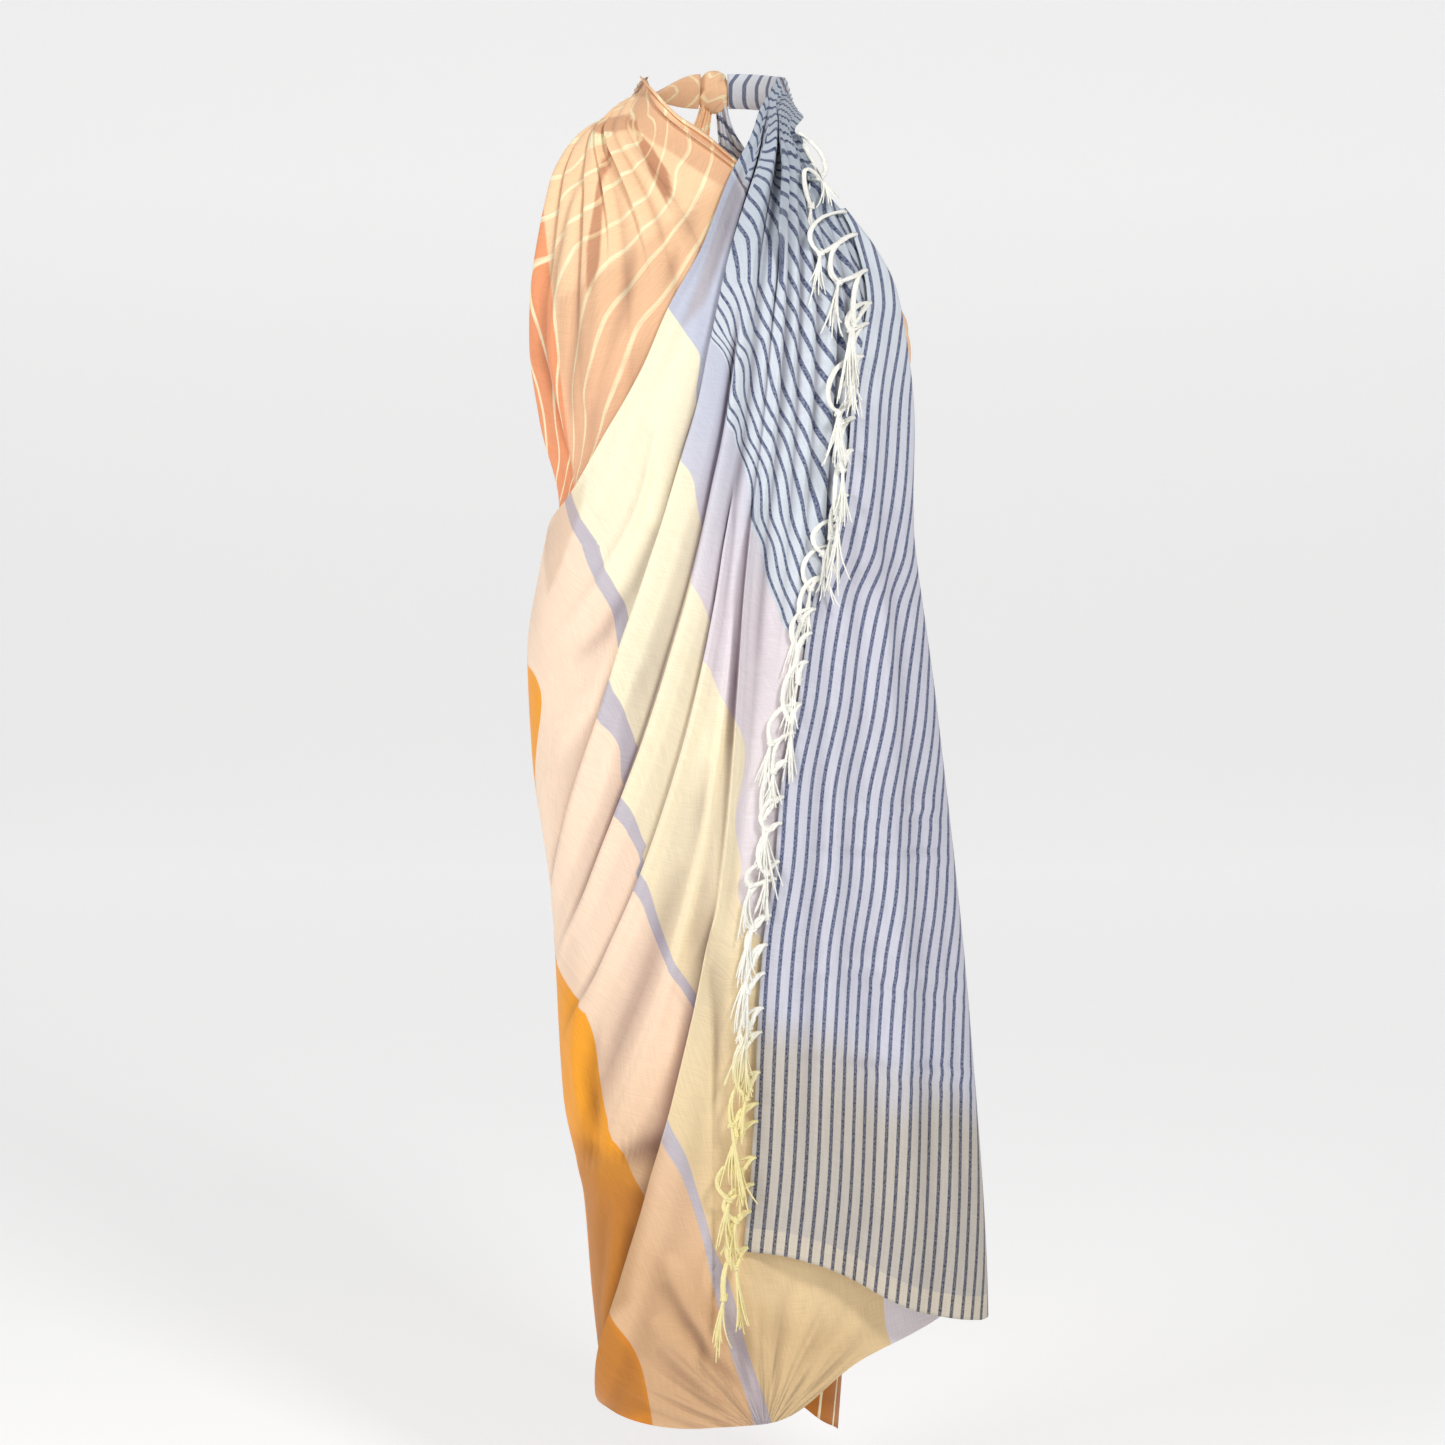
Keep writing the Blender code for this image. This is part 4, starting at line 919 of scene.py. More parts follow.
def stripedEnd(grid):
    # A half turn of the fold's radius about each level of the outer front's end, then back over
    # the front to the fringed edge: angle and drop move evenly from the fold to edge and hem.
    spec = endPiece
    top = endEdge["drop"][0]
    outer, drop, angle = grid["points"][:, -1], grid["drop"][:, -1], grid["angle"][:, -1]
    rows = top + (drop[-1] - top) * np.linspace(0, 1, spec["rows"] + 1)
    start = np.stack([np.interp(rows, drop, outer[:, k]) for k in range(3)], -1)
    angle = np.interp(rows, drop, angle)
    _, out, along = surface(angle, rows, cloth["outerLift"] + 0 * rows, outer=True)
    radius = smooth(rows, foldLine["drop"], foldLine["radius"])
    turn = np.linspace(0, np.pi, spec["capColumns"] + 1)[None, :] + 0 * rows[:, None]
    turn[:, 0] = cloth["seam"] / radius
    cap = (start[:, None] + (radius[:, None] * (1 - np.cos(turn)))[..., None] * out[:, None]
           + (radius[:, None] * np.sin(turn))[..., None] * along[:, None])
    share = np.linspace(0, 1, spec["returnColumns"] + 1)[None, 1:]
    down = ((rows - top) / (rows[-1] - top))[:, None]
    edge = np.radians(smooth(rows, endEdge["drop"], endEdge["angle"]))[:, None]
    hem = np.degrees(angle[:, None] * (1 - share) + edge * share)
    hem = smooth(hem, endHem["angle"], endHem["drop"])
    hung = top + down * (hem - top)
    edge = np.radians(smooth(hung[:, -1], endEdge["drop"], endEdge["angle"]))[:, None]
    back = angle[:, None] * (1 - share) + edge * share
    edgeGap = smooth(hung[:, -1], endEdge["drop"], endEdge["gap"])[:, None]
    gap = 2 * radius[:, None] * (1 - ease(share, 0, 1)) + edgeGap * ease(share, 0, 1)
    wave = np.sin(spec["waves"] * back + 1.5 * hung) * ease(share, 0, 0.3) * ease(hung, 0.2, 0.6)
    creased = strokes(seenStrokes(spec["creases"], cloth["outerLift"] + 0.012, True), back, hung,
                      turnLength(back, hung, cloth["outerLift"] + 0.012, True)) * ease(share, 0, 0.12)
    relief = spec["waveHeight"] * wave + creased
    points, _, _ = surface(back, hung, cloth["outerLift"], gap + relief, outer=True)
    # Painted shade in the hollows of its creases and waves.
    hollowShade = np.concatenate([0 * turn, hollows(relief, 3, 6, 0.0045)], axis=1)
    points = np.concatenate([cap, points], axis=1)
    across = distance(points[:, ::-1], 1)[:, ::-1]
    below = distance(points[::-1])[::-1]
    return {"points": points, "uv": np.stack([across, below], -1), "drop": rows,
            "width": across[:, 0], "hollowShade": hollowShade}


# Inner front

innerGuides = [
    ("cut end", 5, [(-84, 20), (-82, 35), (-82, 55), (-86, 80), (-94, 130), (-102, 190),
                    (-106, 260), (-106, 600), (-106, 1160)]),
    ("side", 5, [(-82, 16), (-74, 34), (-66, 60), (-63, 100), (-65, 170), (-68, 280),
                 (-66, 420), (-64, 600), (-60, 900), (-60, 1185)]),
    ("left bust", 6, [(-79, 11), (-66, 30), (-53, 55), (-45, 95), (-42, 160), (-42, 260),
                      (-40, 420), (-34, 650), (-28, 900), (-24, 1215)]),
    ("centre", 5, [(-77, 6), (-60, 26), (-45, 48), (-32, 80), (-22, 130), (-15, 200),
                   (-10, 290), (-6, 440), (0, 660), (8, 920), (14, 1250)]),
    ("right bust", 3, [(-75, 1), (-56, 21), (-40, 42), (-25, 72), (-12, 115), (-2, 170),
                       (9, 240), (21, 340), (34, 500), (46, 720), (56, 1000), (60, 1322)]),
    ("right hem", 4, [(-72, -3), (-52, 17), (-36, 38), (-20, 66), (-6, 104), (8, 155),
                      (24, 240), (42, 370), (58, 540), (72, 780), (84, 1080), (90, 1345)]),
    ("right hip", 4, [(-70, -7), (-49, 13), (-33, 32), (-17, 56), (-2, 86), (14, 132),
                      (32, 200), (52, 310), (70, 460), (84, 660), (90, 800)]),
    ("right waist", 6, [(-68, -11), (-46, 8), (-29, 25), (-13, 44), (3, 72), (20, 114),
                        (40, 176), (62, 260), (80, 360), (90, 440)]),
    ("neckline", 0, [(-66, -14), (-45, 2), (-32, 13), (-18, 28), (-6, 42), (8, 70),
                     (29, 122), (45, 164), (61, 194), (76, 216), (90, 234)]),
]
innerPiece = {
    "rows": 150, "perColumn": 6, "crowding": 1.35,
    "folds": table("column height steep gentle start end lap groove side", [
        (37.2, 0.0040, 0.0018, 0.006, -0.05, 0.30, 0.0014, 0.0016, 1),
        (33.2, 0.0040, 0.0020, 0.009, -0.05, 0.12, 0.0014, 0.0016, 1),
        (9.0, 0.0070, 0.0024, 0.010, 0.03, 0.17, 0.0022, 0.0020, 1),
        (15.2, 0.0055, 0.0022, 0.010, 0.04, 0.12, 0.0016, 0.0020, 1),
        (12.0, 0.0050, 0.0022, 0.010, 0.03, 0.14, 0.0016, 0.0020, 1),
        (5.2, 0.0055, 0.0026, 0.010, 0.03, 0.14, 0.0016, 0.0020, 1),
        (3.2, 0.0045, 0.0080, 0.012, 0.06, 0.40, 0.0000, 0.0000, 1),
    ]),
    "pleats": {"first": 1, "columns": 4, "height": 0.0066, "steepness": 0.44, "lean": 1.15,
               "roundness": 1.6, "shares": (1.0, 0.7, 1.1, 0.8, 1.0), "fade": (0.14, 0.34),
               "lengths": (1.0, 1.1, 1.2, 0.9, 0.8)},
    # Where more layers show through, and where folds and the layers above cast painted shade, as seen from
    # the front: amount, softness and outline.
    "layers": [
        (0.30, 6, [(-150, 200), (-100, 170), (-20, 110), (30, 60), (60, 120), (-40, 220),
                   (-100, 330), (-135, 400), (-150, 300)]),
        (0.45, 2, [(-76, -16), (-60, -18), (30, 60), (16, 95), (-40, 58), (-78, 30)]),
        (0.85, 1.4, [(-83, 24), (-74, 26), (-60, 52), (-45, 75), (-41, 94),
                     (-45, 108), (-51, 97), (-67, 64), (-75.7, 40), (-83, 31)]),
        (0.80, 1.2, [(-94, 33), (-92, 28), (-96, 60), (-105, 95), (-107, 140),
                     (-108, 165), (-114, 190), (-123, 190), (-121, 150), (-114, 110), (-102, 60)]),
        (0.55, 1.5, [(-112, 30), (-80, 20), (-84, 36), (-104, 40)]),
    ],
    "creases": [
        (-4, 4, [(-171, 240), (-165, 271), (-153, 319), (-144, 353), (-138, 390)]),
        (4, 7, [(-160, 180), (-158, 250), (-146, 320), (-134, 385)]),
        (-3, 5, [(-120, 70), (-140, 110), (-154, 170), (-160, 230)]),
        (3, 7, [(-110, 60), (-134, 110), (-148, 180)]),
        (-2.6, 6, [(-128, 160), (-138, 250), (-142, 340)]),
        (3, 11, [(-100, 130), (-110, 220), (-122, 310)]),
        (-2.4, 7, [(-70, 110), (-86, 190), (-106, 270), (-124, 350)]),
        (2.4, 9, [(-30, 100), (-50, 160), (-82, 240), (-112, 320)]),
        (-2, 6, [(-10, 90), (-34, 150), (-60, 210)]),
    ],
    # Yellow lines as seen from the front: the number of the line from the cut end, and places.
    "lines": [
        (1.4, [(-118, 20), (-100, 12)]),
        (2, [(-132, 42), (-120, 38)]),
        (3, [(-152, 82.6), (-136, 74.7), (-117, 49.6), (-97, 41.7)]),
        (4, [(-163, 125.6), (-152, 117), (-138, 92.6), (-113, 75.4), (-103, 69.7),
             (-98.6, 61.8), (-83, 52.5), (-70, 43)]),
        (5, [(-167.5, 167), (-156, 155.8), (-153, 147), (-131.6, 121.3), (-118.7, 111.3),
             (-106.5, 104), (-103, 94), (-85.7, 79.7), (-68.5, 64), (-64, 21),
             (-64, -5)]),
        (6, [(-155, 196), (-150, 181.6), (-138.8, 160), (-131.6, 146.4), (-107, 135),
             (-86, 119), (-58, 89), (-47, 43.9), (-45, 20), (-151, 260)]),
        (7, [(-113, 181), (-105, 170), (-79, 144), (-62, 127), (-46, 111), (-37, 74),
             (-24, 55), (-25, 40), (-128, 213), (-135, 245), (-139, 315), (-138, 366)]),
        (8, [(-92, 199), (-72, 175), (-54, 154), (-30, 122), (-11, 89), (-4, 70),
             (-101, 213), (-114, 248), (-128, 294)]),
        (9, [(-51, 200), (-74, 227), (-88, 264), (-100, 296), (-111, 326), (-130, 377)]),
        (17, [(180, 230), (190, 300)]),
        (21, [(160, 900), (110, 1300)]),
    ],
}


def innerPattern(grid):
    # Distance from the cut end at each point, as a thin plate through the seen lines.
    places = [placeOnForm(line, cloth["innerLift"], False) for _, line in innerPiece["lines"]]
    values = [np.full(len(line), number * innerBands["pitch"]) for number, line in innerPiece["lines"]]
    field = thinPlate(np.concatenate(places), np.concatenate(values), grid["angle"], grid["drop"])
    return np.stack([field, distance(grid["points"])], -1)


# Back

backPiece = {
    "columns": 110, "trim": 0.06,
    "swags": table("down height width", [
        (0.09, 0.0050, 0.022),
        (0.22, 0.0085, 0.030),
        (0.37, 0.0075, 0.032),
        (0.54, 0.0060, 0.040),
        (0.73, 0.0045, 0.046),
    ]),
    # Creases on the back: height, width, and places as angle and drop.
    "creases": [
        (4.5, 10, [(100, 300), (140, 340), (185, 400), (225, 470), (262, 560)]),
        (-4.4, 10, [(98, 340), (140, 385), (190, 450), (235, 530), (264, 620)]),
        (4.2, 12, [(96, 420), (135, 460), (180, 520), (225, 600), (264, 700)]),
        (-4, 11, [(110, 500), (150, 540), (200, 600), (245, 690)]),
        (3.8, 14, [(96, 560), (140, 600), (190, 670), (240, 760), (262, 820)]),
        (-3.4, 12, [(104, 660), (150, 700), (200, 770), (240, 840)]),
        (3.6, 16, [(140, 800), (150, 1000), (156, 1250)]),
        (-3.4, 14, [(165, 850), (172, 1050), (176, 1280)]),
        (3.6, 16, [(200, 820), (204, 1020), (208, 1260)]),
        (-3.2, 13, [(225, 900), (226, 1100), (230, 1270)]),
        (-3, 13, [(118, 840), (124, 1040), (126, 1240)]),
        (4, 8, [(263, 450), (240, 430), (214, 418)]),
        (-3.8, 8, [(263, 475), (238, 458), (206, 450)]),
        (3.4, 9, [(263, 510), (240, 500), (212, 500)]),
    ],
}


def backWrap(inner, outer, innerUv, outerUv):
    # Drops, lift and relief pass evenly from the inner front's right side to the outer front's
    # left side; swags are bells about shares of the depth, highest in the middle of the back.
    spec = backPiece
    rightStart = sum(count for _, count, _ in innerGuides[:5]) * innerPiece["perColumn"]
    leftEnd = sum(count for _, count, _ in outerGuides[:3]) * outerPiece["perColumn"]
    share = np.linspace(0, 1, 131)

    def sideOf(grid, first, last, pattern):
        # Drop, relief and pattern down the grid's hem, read evenly from the top.
        part = slice(first, last)
        drop, relief = grid["drop"][-1, part], grid["relief"][-1, part]
        order = np.argsort(drop)
        at = np.linspace(0, 1, len(drop))
        return [smooth(share, at, values[order]) for values in (drop, relief, pattern)]

    innerDrop, innerRelief, innerStart = sideOf(inner, rightStart, None, innerUv[-1, rightStart:, 0])
    leftEdge = np.append(outerUv[-1, :leftEnd, 3, 0], outerUv[-1, leftEnd - 1, 2, 0])
    outerDrop, outerRelief, outerStart = sideOf(outer, 0, leftEnd + 1, leftEdge)
    across = np.linspace(0, 1, spec["columns"] + 1)[None, :]
    trim = np.radians(spec["trim"])
    angle = np.pi / 2 + trim + across * (np.pi - 2 * trim) + 0 * innerDrop[:, None]
    drop = innerDrop[:, None] * (1 - across) + outerDrop[:, None] * across
    lift = cloth["innerLift"] + (cloth["outerLift"] - cloth["innerLift"]) * across + 0 * drop
    relief = innerRelief[:, None] * (1 - ease(across, 0, 0.3)) + outerRelief[:, None] * ease(across, 0.5, 1)
    depth = drop - drop[:1]
    full = drop[-1:] - drop[:1]
    for down, height, width in zip(*spec["swags"].values()):
        away = depth - full * (down + 0.05 * np.sin(3 * across))
        relief = relief + height * np.sin(np.pi * across) * bell(away / width)
    creases = [(height / 1000, width / 1000, np.array(line) * (math.radians(1), 0.001))
               for height, width, line in spec["creases"]]
    relief = relief + strokes(creases, angle, drop, turnLength(angle, drop, lift, False))
    points, out, _ = surface(angle, drop, lift, relief)
    fromRight = distance(points, 1)
    uv = np.stack([innerStart[:, None] + fromRight, depth], -1)
    fromFringe = outerStart[:, None] + fromRight[:, -1:] - fromRight
    # Also returns painted shade for the hollows of its swags and creases.
    return points, uv, out, hollows(relief, 4, 5, 0.0050) * 0.7, fromFringe


# Gathers, knot and free corners

# The gathers and the knot are deepened all over, for their many layers and as painted shade.
gatherPiece = {"trim": 0.25, "endAngle": 169.0, "napeTop": -0.028, "napeHeight": 0.034, "thin": 0.003,
               "thick": 0.010, "ridge": 0.0020, "ridges": 8, "rows": 72, "around": 96,
               "layers": 0.35}
knotPiece = {"centre": (0.0, 0.0825, 0.011), "radii": (0.0175, 0.0165, 0.0205), "frontDepth": 0.0095,
             "layers": 0.25}
tailPiece = {"middle": 174.6, "lean": 9.0, "halfWidth": 4.2, "spread": 4.0, "top": 0.0098, "length": 0.075,
             "point": 0.006, "lift": 0.0085, "settle": 0.003, "wall": 0.0014}


def neckGather(grid, mirror, start, step):
    # A flattened roll swept from the sheet's top row round to the nape. The place across it is
    # (1 - cos t) / 2 and the thickness goes as sin t, so each section closes; ridges run along
    # it as a raised cosine, and wander a little.
    spec = gatherPiece
    turn = np.linspace(0, 2 * np.pi, spec["around"], endpoint=False)[None, :]
    pick = (1 - np.cos(turn)) / 2
    side = np.sign(np.sin(turn)) * np.abs(np.sin(turn)) ** 0.7
    share = np.linspace(0, 1, len(grid["angle"][0]))
    along = np.linspace(0, 1, spec["rows"] + 1)[:, None]
    topAngle = np.interp(pick[0], share, grid["angle"][0])[None] * mirror + np.radians(spec["trim"])
    topDrop = np.interp(pick[0], share, grid["drop"][0])[None]
    angle = topAngle * (1 - along) + np.radians(spec["endAngle"]) * along
    napeDrop = spec["napeTop"] + spec["napeHeight"] * pick
    drop = topDrop * (1 - ease(along, 0, 1)) + napeDrop * ease(along, 0, 1)
    thick = spec["thin"] + (spec["thick"] - spec["thin"]) * ease(along, 0, 0.5)
    lift = 0.0035 + thick * (0.55 + 0.45 * np.sin(np.pi * (0.08 + 0.84 * pick))) / 2 * (1 + side)
    wander = 0.05 * np.sin(5 * along + 3 * pick) + 0.03 * np.sin(11 * along)
    ridges = 0.5 - 0.5 * np.cos(2 * np.pi * spec["ridges"] * (pick + wander))
    ridges = spec["ridge"] * ridges ** 0.6 * np.clip(side, 0, 1) * ease(along, 0.0, 0.25)
    closing = np.minimum(ease(along, -0.004, 0.02), 1 - ease(along, 0.98, 1.004))
    middle = lift * 0 + 0.0035 + thick / 2
    points, out, _ = surface(angle * mirror, drop, middle + (lift - middle) * closing, ridges * closing)
    length = distance(points)
    zigzag = 0.0016 * np.sin(2 * np.pi * spec["ridges"] * (pick + wander)) * np.clip(side, 0, 1)
    uv = np.stack([start + step * length + zigzag, 0.1 + 0.2 * pick + 0 * length], -1)
    # Painted shade between the ridges.
    hollowShade = np.clip(1 - ridges / (0.5 * spec["ridge"]), 0, 1) * np.clip(2 * side, 0, 1) * closing
    return points, uv, points - points.mean(axis=1, keepdims=True), hollowShade


def napeKnot():
    # An ellipsoid with one twisted hollow band: its radius is 1 plus ridges that follow
    # cos(5 (turn + 1.1 height)), like cloth wound over itself.
    spec = knotPiece
    height = np.linspace(0.02, np.pi - 0.02, 64)[:, None]
    turn = np.linspace(0, 2 * np.pi, 96, endpoint=False)[None, :]
    direction = np.stack([np.sin(height) * np.sin(turn), -np.sin(height) * np.cos(turn),
                          np.cos(height) + 0 * turn], -1)
    wound = np.cos(5 * (turn + 1.1 * height)) * np.sin(height) ** 0.7
    ridge = 0.045 * np.abs(wound) ** 0.5 * np.sign(wound)
    waist = -0.14 * bell((height - 1.25 + 0.35 * np.sin(turn)) / 0.16)
    size = np.where(direction < 0, [spec["radii"][0], spec["frontDepth"], spec["radii"][2]], spec["radii"])
    points = np.array(spec["centre"]) + direction * size * (1.03 + ridge + waist)[..., None]
    uv = np.stack([0.013 + 0.02 * height + 0.003 * wound, 0.02 * turn + 0 * height], -1)
    return points, uv, direction


def knotTail(mirror, start):
    # A free corner: a sheet that widens downwards and ripples across, its ends cut to a point.
    spec = tailPiece
    down = np.linspace(0, 1, 61)[:, None]
    across = np.linspace(-1, 1, 41)[None, :]
    middle = spec["middle"] - spec["lean"] * down
    half = spec["halfWidth"] + spec["spread"] * ease(down, 0, 0.8)
    angle = np.radians(middle + half * across) * mirror
    drop = (spec["top"] - 0.008 * (1 - ease(down, 0, 0.3)) + spec["length"] * down
            + spec["point"] * np.abs(across) * down)
    lift = spec["lift"] - spec["settle"] * ease(down, 0, 0.6) + 0 * angle
    ripple = (0.0016 * np.cos(2 * np.pi * across + 1.5 * down)
              + 0.0012 * np.cos(5 * np.pi * across - 2 * down))
    points, out, _ = surface(angle, drop, lift, ripple * (1 - 0.3 * down))
    uv = np.stack([start + 0.06 * down + 0.03 * across * down, 0.1 + 0.03 * across + 0 * down], -1)
    return points, uv, out


# Fringe

fringePiece = {"pitch": 0.030, "scatter": 0.28, "yarn": 0.00135, "yarns": 5, "tassel": 9, "points": 20,
               "reach": (0.010, 0.026), "hang": (1.30, 1.80), "bulge": (0.002, 0.026), "knot": 0.0024,
               "lengths": (0.034, 0.060), "longer": 1.35, "frayed": 0.45, "front": (0.0, -1.0, 0.0),
               "seed": 11, "topLift": 1.3, "topLean": 0.20}
shoulderPiece = dict(fringePiece, pitch=0.022, seed=5, lengths=(0.020, 0.036), front=(0.3, -1.3, 0.2))


def tubes(name, paths, radii, finish, sides=6, ply=0.16, twist=900.0):
    # Tubes about many paths at once: circles square to each path, their radius swelling twice in
    # a turn and winding along the path, like two twisted plies. Paths are strands x points x 3.
    run = np.gradient(paths, axis=1)
    run /= np.linalg.norm(run, axis=-1, keepdims=True) + 1e-12
    reference = np.array([0.31, -0.9, 0.21])
    side = np.cross(run, reference)
    side /= np.linalg.norm(side, axis=-1, keepdims=True)
    other = np.cross(run, side)
    turn = np.linspace(0, 2 * np.pi, sides, endpoint=False)
    swell = 1 + ply * np.cos(2 * turn - twist * distance(paths, 1)[..., None])
    ring = np.cos(turn)[:, None] * side[:, :, None] + np.sin(turn)[:, None] * other[:, :, None]
    points = paths[:, :, None] + ring * (radii[..., None] * swell)[..., None]
    strands, count = paths.shape[:2]
    index = np.arange(strands * count * sides).reshape(strands, count, sides)
    following = np.roll(index, -1, axis=2)
    faces = np.stack([index[:, :-1], following[:, :-1], following[:, 1:], index[:, 1:]], -1).reshape(-1, 4)
    caps = index[:, 0, ::-1].tolist() + index[:, -1].tolist()
    return addPiece(name, points, faces.tolist() + caps, finish)


def curveAlong(stations, count):
    # Bezier curves of four stations each (strands x 4 x 3): the stations weighted by
    # (1 - t)^3, 3 (1 - t)^2 t, 3 (1 - t) t^2 and t^3.
    at = np.linspace(0, 1, count)
    weights = np.stack([(1 - at) ** 3, 3 * (1 - at) ** 2 * at, 3 * (1 - at) * at ** 2, at ** 3], -1)
    return np.einsum("tk,skc->stc", weights, np.asarray(stations))


def yarnBundle(stations, count, spread, points, random):
    # Yarns that run side by side through the stations, winding slowly round each other: 0.45 of
    # the middle curve, 0.55 of the yarn's own, and a turn about them.
    middle = curveAlong(stations, points)
    turn = np.linspace(0, 5.0, points)[None, :, None]
    wound = []
    for yarn in range(count):
        off = random.normal(0, spread, stations.shape)
        off[:, 0] *= 0.4
        phase = turn + 2 * np.pi * yarn / count
        around = np.concatenate([np.cos(phase), 0.6 * np.sin(phase), 0 * turn], -1) * 0.0012
        wound.append(middle * 0.45 + curveAlong(stations + off, points) * 0.55 + around)
    return np.concatenate(wound)


def coils(centres, size, random):
    # A knot as a short helix of two and a half turns, tilted at random.
    turn = np.linspace(0, 5 * np.pi, 26)[None, :]
    tilt = random.normal(0, 0.5, (len(centres), 1))
    x = size * np.cos(turn)
    z = -size * 1.5 * (turn / turn[0, -1] - 0.5) * 1.6
    ring = np.stack([x * np.cos(tilt) - z * np.sin(tilt), size * 0.8 * np.sin(turn) + 0 * tilt,
                     x * np.sin(tilt) + z * np.cos(tilt)], -1)
    return centres[:, None] + ring


def nettedFringe(name, edge, before, finish, spec):
    # Bundles leave the edge at uneven steps. Each parts in two, one half joins half of the next
    # bundle in a knot away from the edge and below it, and a frayed tassel hangs from each knot.
    # Cords and tassels are Bezier curves, and "before" is the column that the edge follows on from.
    random = np.random.default_rng(spec["seed"])
    length = distance(edge)
    roots = np.arange(0.004, length[-1] - 0.003, spec["pitch"])
    roots[1:-1] += random.uniform(-spec["scatter"], spec["scatter"], len(roots) - 2) * spec["pitch"]
    root = np.stack([np.interp(roots, length, edge[:, k]) for k in range(3)], -1)
    away = root - np.stack([np.interp(roots, length, before[:, k]) for k in range(3)], -1)
    away /= np.linalg.norm(away, axis=-1, keepdims=True)
    rise = spec["topLift"] * (1 - ease((roots / length[-1])[:, None], 0.05, 0.40))
    down = np.array([0.0, 0.0, -1.0]) + np.array(spec["front"]) * spec["topLean"] * rise
    front = np.array(spec["front"]) * (1 + rise)
    count, points = len(root), spec["points"]
    gap = np.append(np.diff(roots), spec["pitch"])[:, None]
    reach = random.uniform(*spec["reach"], (count, 1))
    knots = root + away * reach + down * gap * random.uniform(*spec["hang"], (count, 1)) + front * 0.0045
    bulge = random.uniform(*spec["bulge"], (count, 1))
    start = root - away * 0.0030 + front * 0.0015
    leaving = np.stack([
        start,
        root + away * (reach * 0.80 + bulge * 0.5) + down * gap * 0.10 + front * 0.0045,
        root + away * (reach + bulge) + down * gap * 1.10 + front * 0.0060,
        knots], 1)
    joining = np.stack([
        start[1:],
        root[1:] + away[1:] * reach[:-1] * 0.30 + down[1:] * gap[:-1] * 0.12 + front[1:] * 0.0040,
        knots[:-1] * 0.65 + root[1:] * 0.35 + front[1:] * 0.0035 + down[1:] * 0.002,
        knots[:-1]], 1)
    loops = [yarnBundle(part, spec["yarns"], 0.0011, points, random) for part in (leaving, joining)]
    long = random.uniform(*spec["lengths"], (count, 1))
    long[3::5] *= spec["longer"]
    lean = random.uniform(-0.12, 0.45, (count, 1))
    tassels = []
    for _ in range(spec["tassel"]):
        fray = random.normal(0, 1, (count, 3)) * (0.0050, 0.0024, 0.0034)
        own = long * random.uniform(0.80, 1.05, (count, 1))
        sway = random.normal(0, 0.0016, (count, 3))
        stations = np.stack([
            knots,
            knots + (down + away * lean) * own * 0.30 + fray * 0.12 + front * 0.0015,
            knots + (down + away * lean * 0.9) * own * 0.65 + fray * 0.40 + sway + front * 0.0020,
            knots + (down + away * lean * 0.6) * own + fray * 1.15 + front * 0.0015], 1)
        tassels.append(curveAlong(stations, points))
    wound = coils(knots, spec["knot"], random)
    loops, tassels = np.concatenate(loops), np.concatenate(tassels)
    radii = np.full((len(loops) + len(tassels), points), spec["yarn"])
    radii[len(loops):] *= np.linspace(1.0, spec["frayed"], points)
    return (tubes(name, np.concatenate([loops, tassels]), radii, finish),
            tubes(name + "_knots", wound, np.full(wound.shape[:2], spec["yarn"] * 1.15), finish))


# Build

blocked, striped, peach, saffron = blockedCotton(), stripedCotton(), peachCotton(), saffronCotton()
yarn = yarnCotton()
print("materials ready")

outer = frontSheet(outerPiece, outerGuides, cloth["outerLift"], True)
end = stripedEnd(outer)
outerUv = outerPattern(outer, np.interp(outer["drop"][:, -1], end["drop"], end["width"]))
# Each sheet takes painted shade in the hollows between its folds.
outerCloth = cover("outer_front", "blocked_cotton", blocked, outer["points"], outerUv, outer["out"],
                   shownLayersAndShade(outerPiece["layers"], cloth["outerLift"], True, outer),
                   hollows(outer["relief"], 3, 7, 0.0052))
endCloth = cover("striped_end", "striped_cotton", striped, end["points"], end["uv"], (0.0, -1.0, 0.0),
                 hollowShade=end["hollowShade"] * 0.6, wall=cloth["thickness"])
inner = frontSheet(innerPiece, innerGuides, cloth["innerLift"])
innerUv = innerPattern(inner)
innerCloth = cover("inner_front", "peach_cotton", peach, inner["points"], innerUv, inner["out"],
                   shownLayersAndShade(innerPiece["layers"], cloth["innerLift"], False, inner),
                   hollows(inner["relief"], 2, 6, 0.0045) * 0.7, wall=cloth["thickness"])
points, uv, outward, hollowShade, fromFringe = backWrap(inner, outer, innerUv, outerUv)
backCloth = cover("back_wrap", "saffron_cotton", saffron, points, uv, outward, hollowShade=hollowShade,
                  fromFringe=fromFringe, wall=cloth["thickness"])

edge, before = (end["points"][:, column] for column in (-1, -3))
fringeYarn, fringeKnots = nettedFringe("end_fringe_yarn", edge, before, yarn, fringePiece)
shoulder = (outer["drop"][:, -1] > 0.046) & (outer["drop"][:, -1] < 0.106)
edge, before = (outer["points"][shoulder, column] for column in (-1, -7))
shoulderYarn, shoulderKnots = nettedFringe("shoulder_fringe_yarn", edge, before, yarn, shoulderPiece)
for piece, node in ((fringeYarn, "end_fringe"), (fringeKnots, "end_fringe"),
                    (shoulderYarn, "shoulder_fringe"), (shoulderKnots, "shoulder_fringe")):
    settle(piece, node)

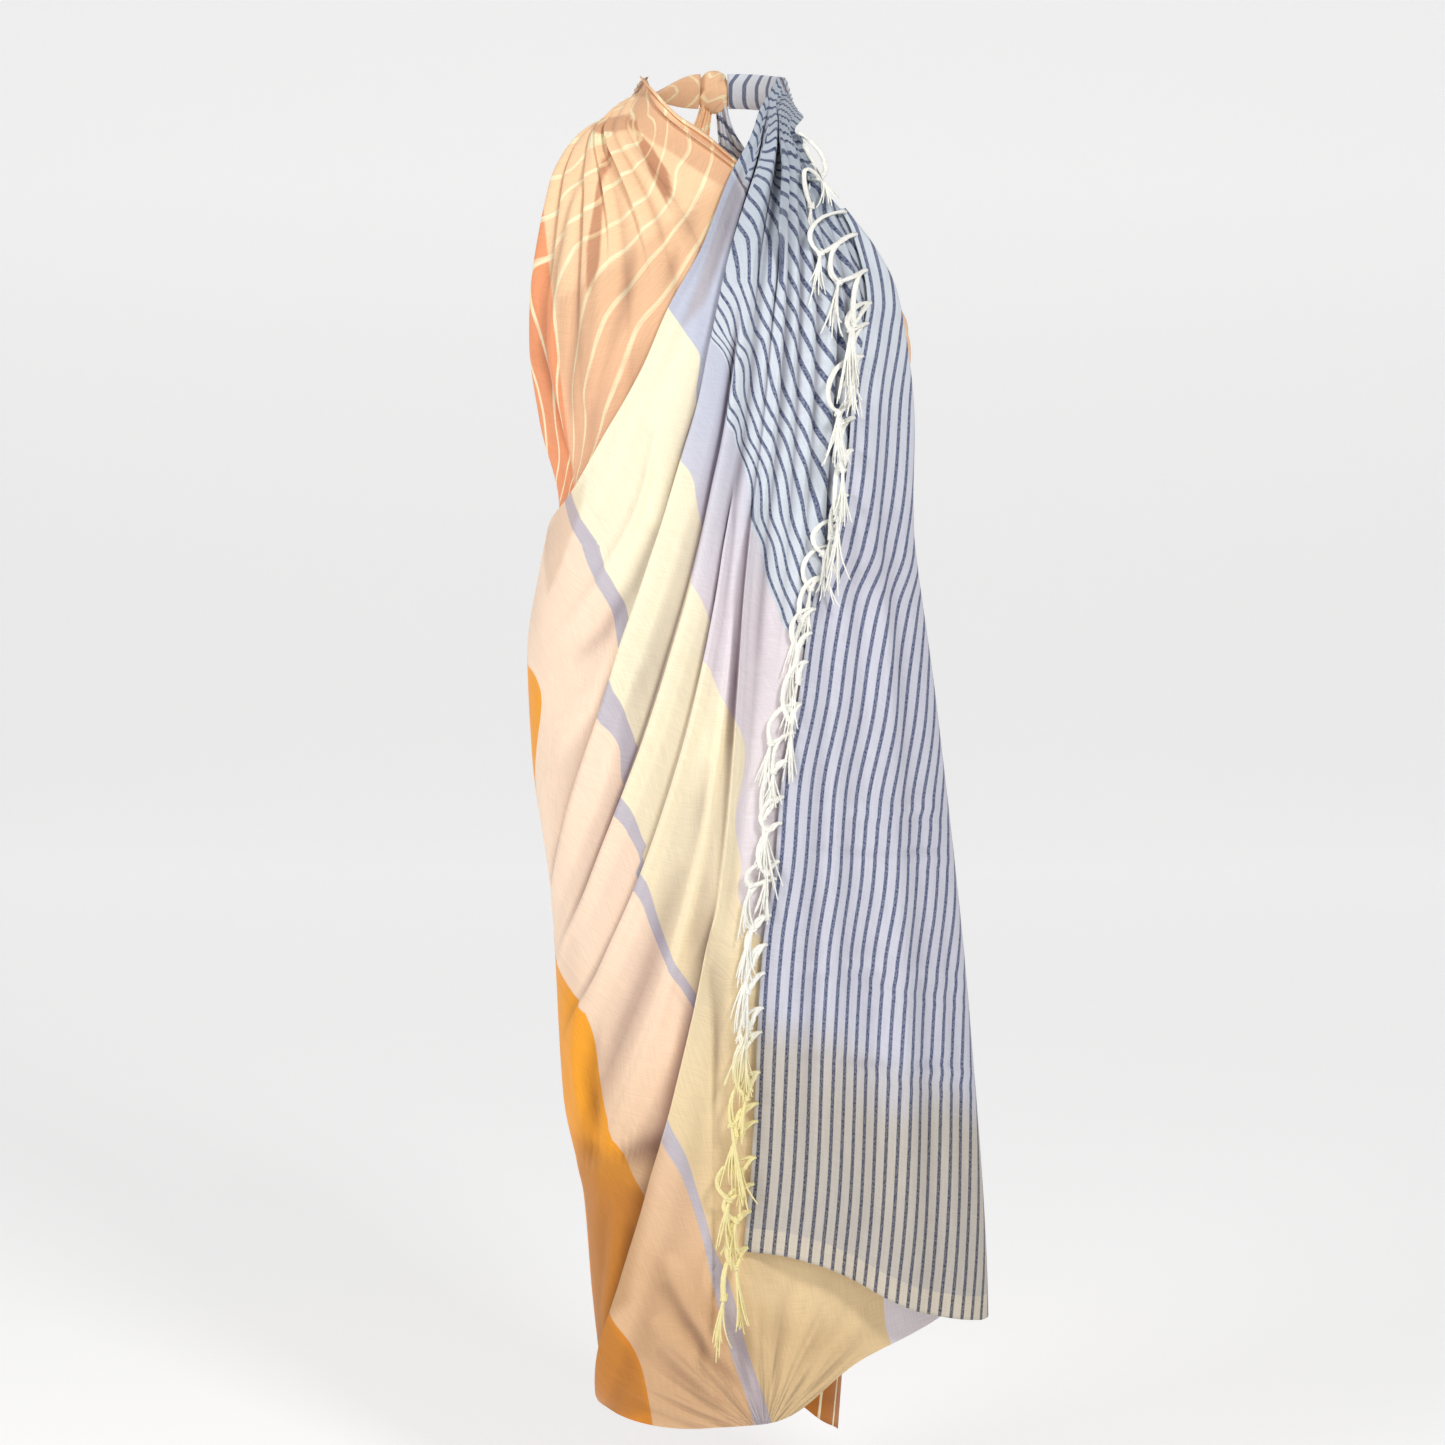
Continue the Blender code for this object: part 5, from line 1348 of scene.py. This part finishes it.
for node, grid, mirror, finish, slot, start, step in (
        ("right_neck_gather", outer, 1, striped, "striped_cotton", 0.132, -0.8),
        ("left_neck_gather", inner, -1, peach, "peach_cotton", 0.30, -1.0)):
    points, uv, outward, hollowShade = neckGather(grid, mirror, start, step)
    cover(node, slot, finish, points, uv, outward, gatherPiece["layers"], hollowShade, closed=True)
cover("nape_knot", "peach_cotton", peach, *napeKnot(), layers=knotPiece["layers"], closed=True)
for node, mirror, finish, slot, start in (("right_knot_tail", 1, striped, "striped_cotton", 0.02),
                                          ("left_knot_tail", -1, peach, "peach_cotton", 0.01)):
    cover(node, slot, finish, *knotTail(mirror, start), wall=tailPiece["wall"])

# Stage, light and camera

stage = {"floor": -1.47, "front": -7.0, "back": 7.0, "radius": 2.0, "top": 6.0, "halfWidth": 9.0,
         "glow": 0.545, "world": 0.25}
lamps = [("key", (1.1, -2.0, 1.1), (0.0, 0.0, -0.35), 0.5, 36),
         ("fill", (-1.9, -1.7, 0.1), (0.0, 0.0, -0.55), 0.9, 29)]


def floorAndWall():
    # A floor that turns up into a wall through a quarter circle: one profile carried sideways.
    floor, back, radius = stage["floor"], stage["back"], stage["radius"]
    turn = np.linspace(0, np.pi / 2, 13)
    y = np.concatenate([[stage["front"], -2.0, 0.0], back - radius + radius * np.sin(turn), [back]])
    z = np.concatenate([[floor, floor, floor], floor + radius - radius * np.cos(turn), [stage["top"]]])
    x = np.linspace(-stage["halfWidth"], stage["halfWidth"], 3)
    points = np.stack([x[None, :] + 0 * y[:, None], y[:, None] + 0 * x, z[:, None] + 0 * x], -1)
    finish = bpy.data.materials.new("pale floor")
    finish.use_nodes = True
    shader = finish.node_tree.nodes["Principled BSDF"]
    for socket, value in {"Base Color": shade["floor"], "Roughness": 0.9, "Specular IOR Level": 0.1,
                          "Emission Color": (1, 1, 1, 1), "Emission Strength": stage["glow"]}.items():
        shader.inputs[socket].default_value = value
    finish.cycles.emission_sampling = "NONE"
    quadMesh("floor", points, np.zeros((*points.shape[:2], 2)), (0.0, -1.0, 1.0), finish)


def aimed(name, data, place, aim):
    # An object at its place that looks along -Z at the aim, upright.
    piece = bpy.data.objects.new(name, data)
    piece.location = place
    piece.rotation_euler = (Vector(aim) - Vector(place)).to_track_quat("-Z", "Y").to_euler()
    bpy.context.scene.collection.objects.link(piece)
    return piece


def studio():
    # An even white world, two square lamps, and a camera where the photo was taken from.
    world = bpy.data.worlds.new("studio")
    world.use_nodes = True
    background = world.node_tree.nodes["Background"]
    background.inputs[0].default_value = (1, 1, 1, 1)
    background.inputs[1].default_value = stage["world"]
    bpy.context.scene.world = world
    for name, place, aim, size, power in lamps:
        light = bpy.data.lights.new(name, "AREA")
        light.shape = "RECTANGLE"
        light.size = light.size_y = size
        light.energy = power
        aimed(name, light, place, aim)
    bpy.context.scene.view_settings.view_transform = "Standard"
    lens = bpy.data.cameras.new("camera")
    lens.lens, lens.sensor_width = camera["lens"], camera["sensor"]
    bpy.context.scene.camera = aimed("camera", lens, camera["place"], camera["aim"])


floorAndWall()
studio()
print("stage ready")


def corners(box):
    # The box's corners as plain lists.
    return [[float(value) for value in corner] for corner in box]


bpy.context.view_layer.update()
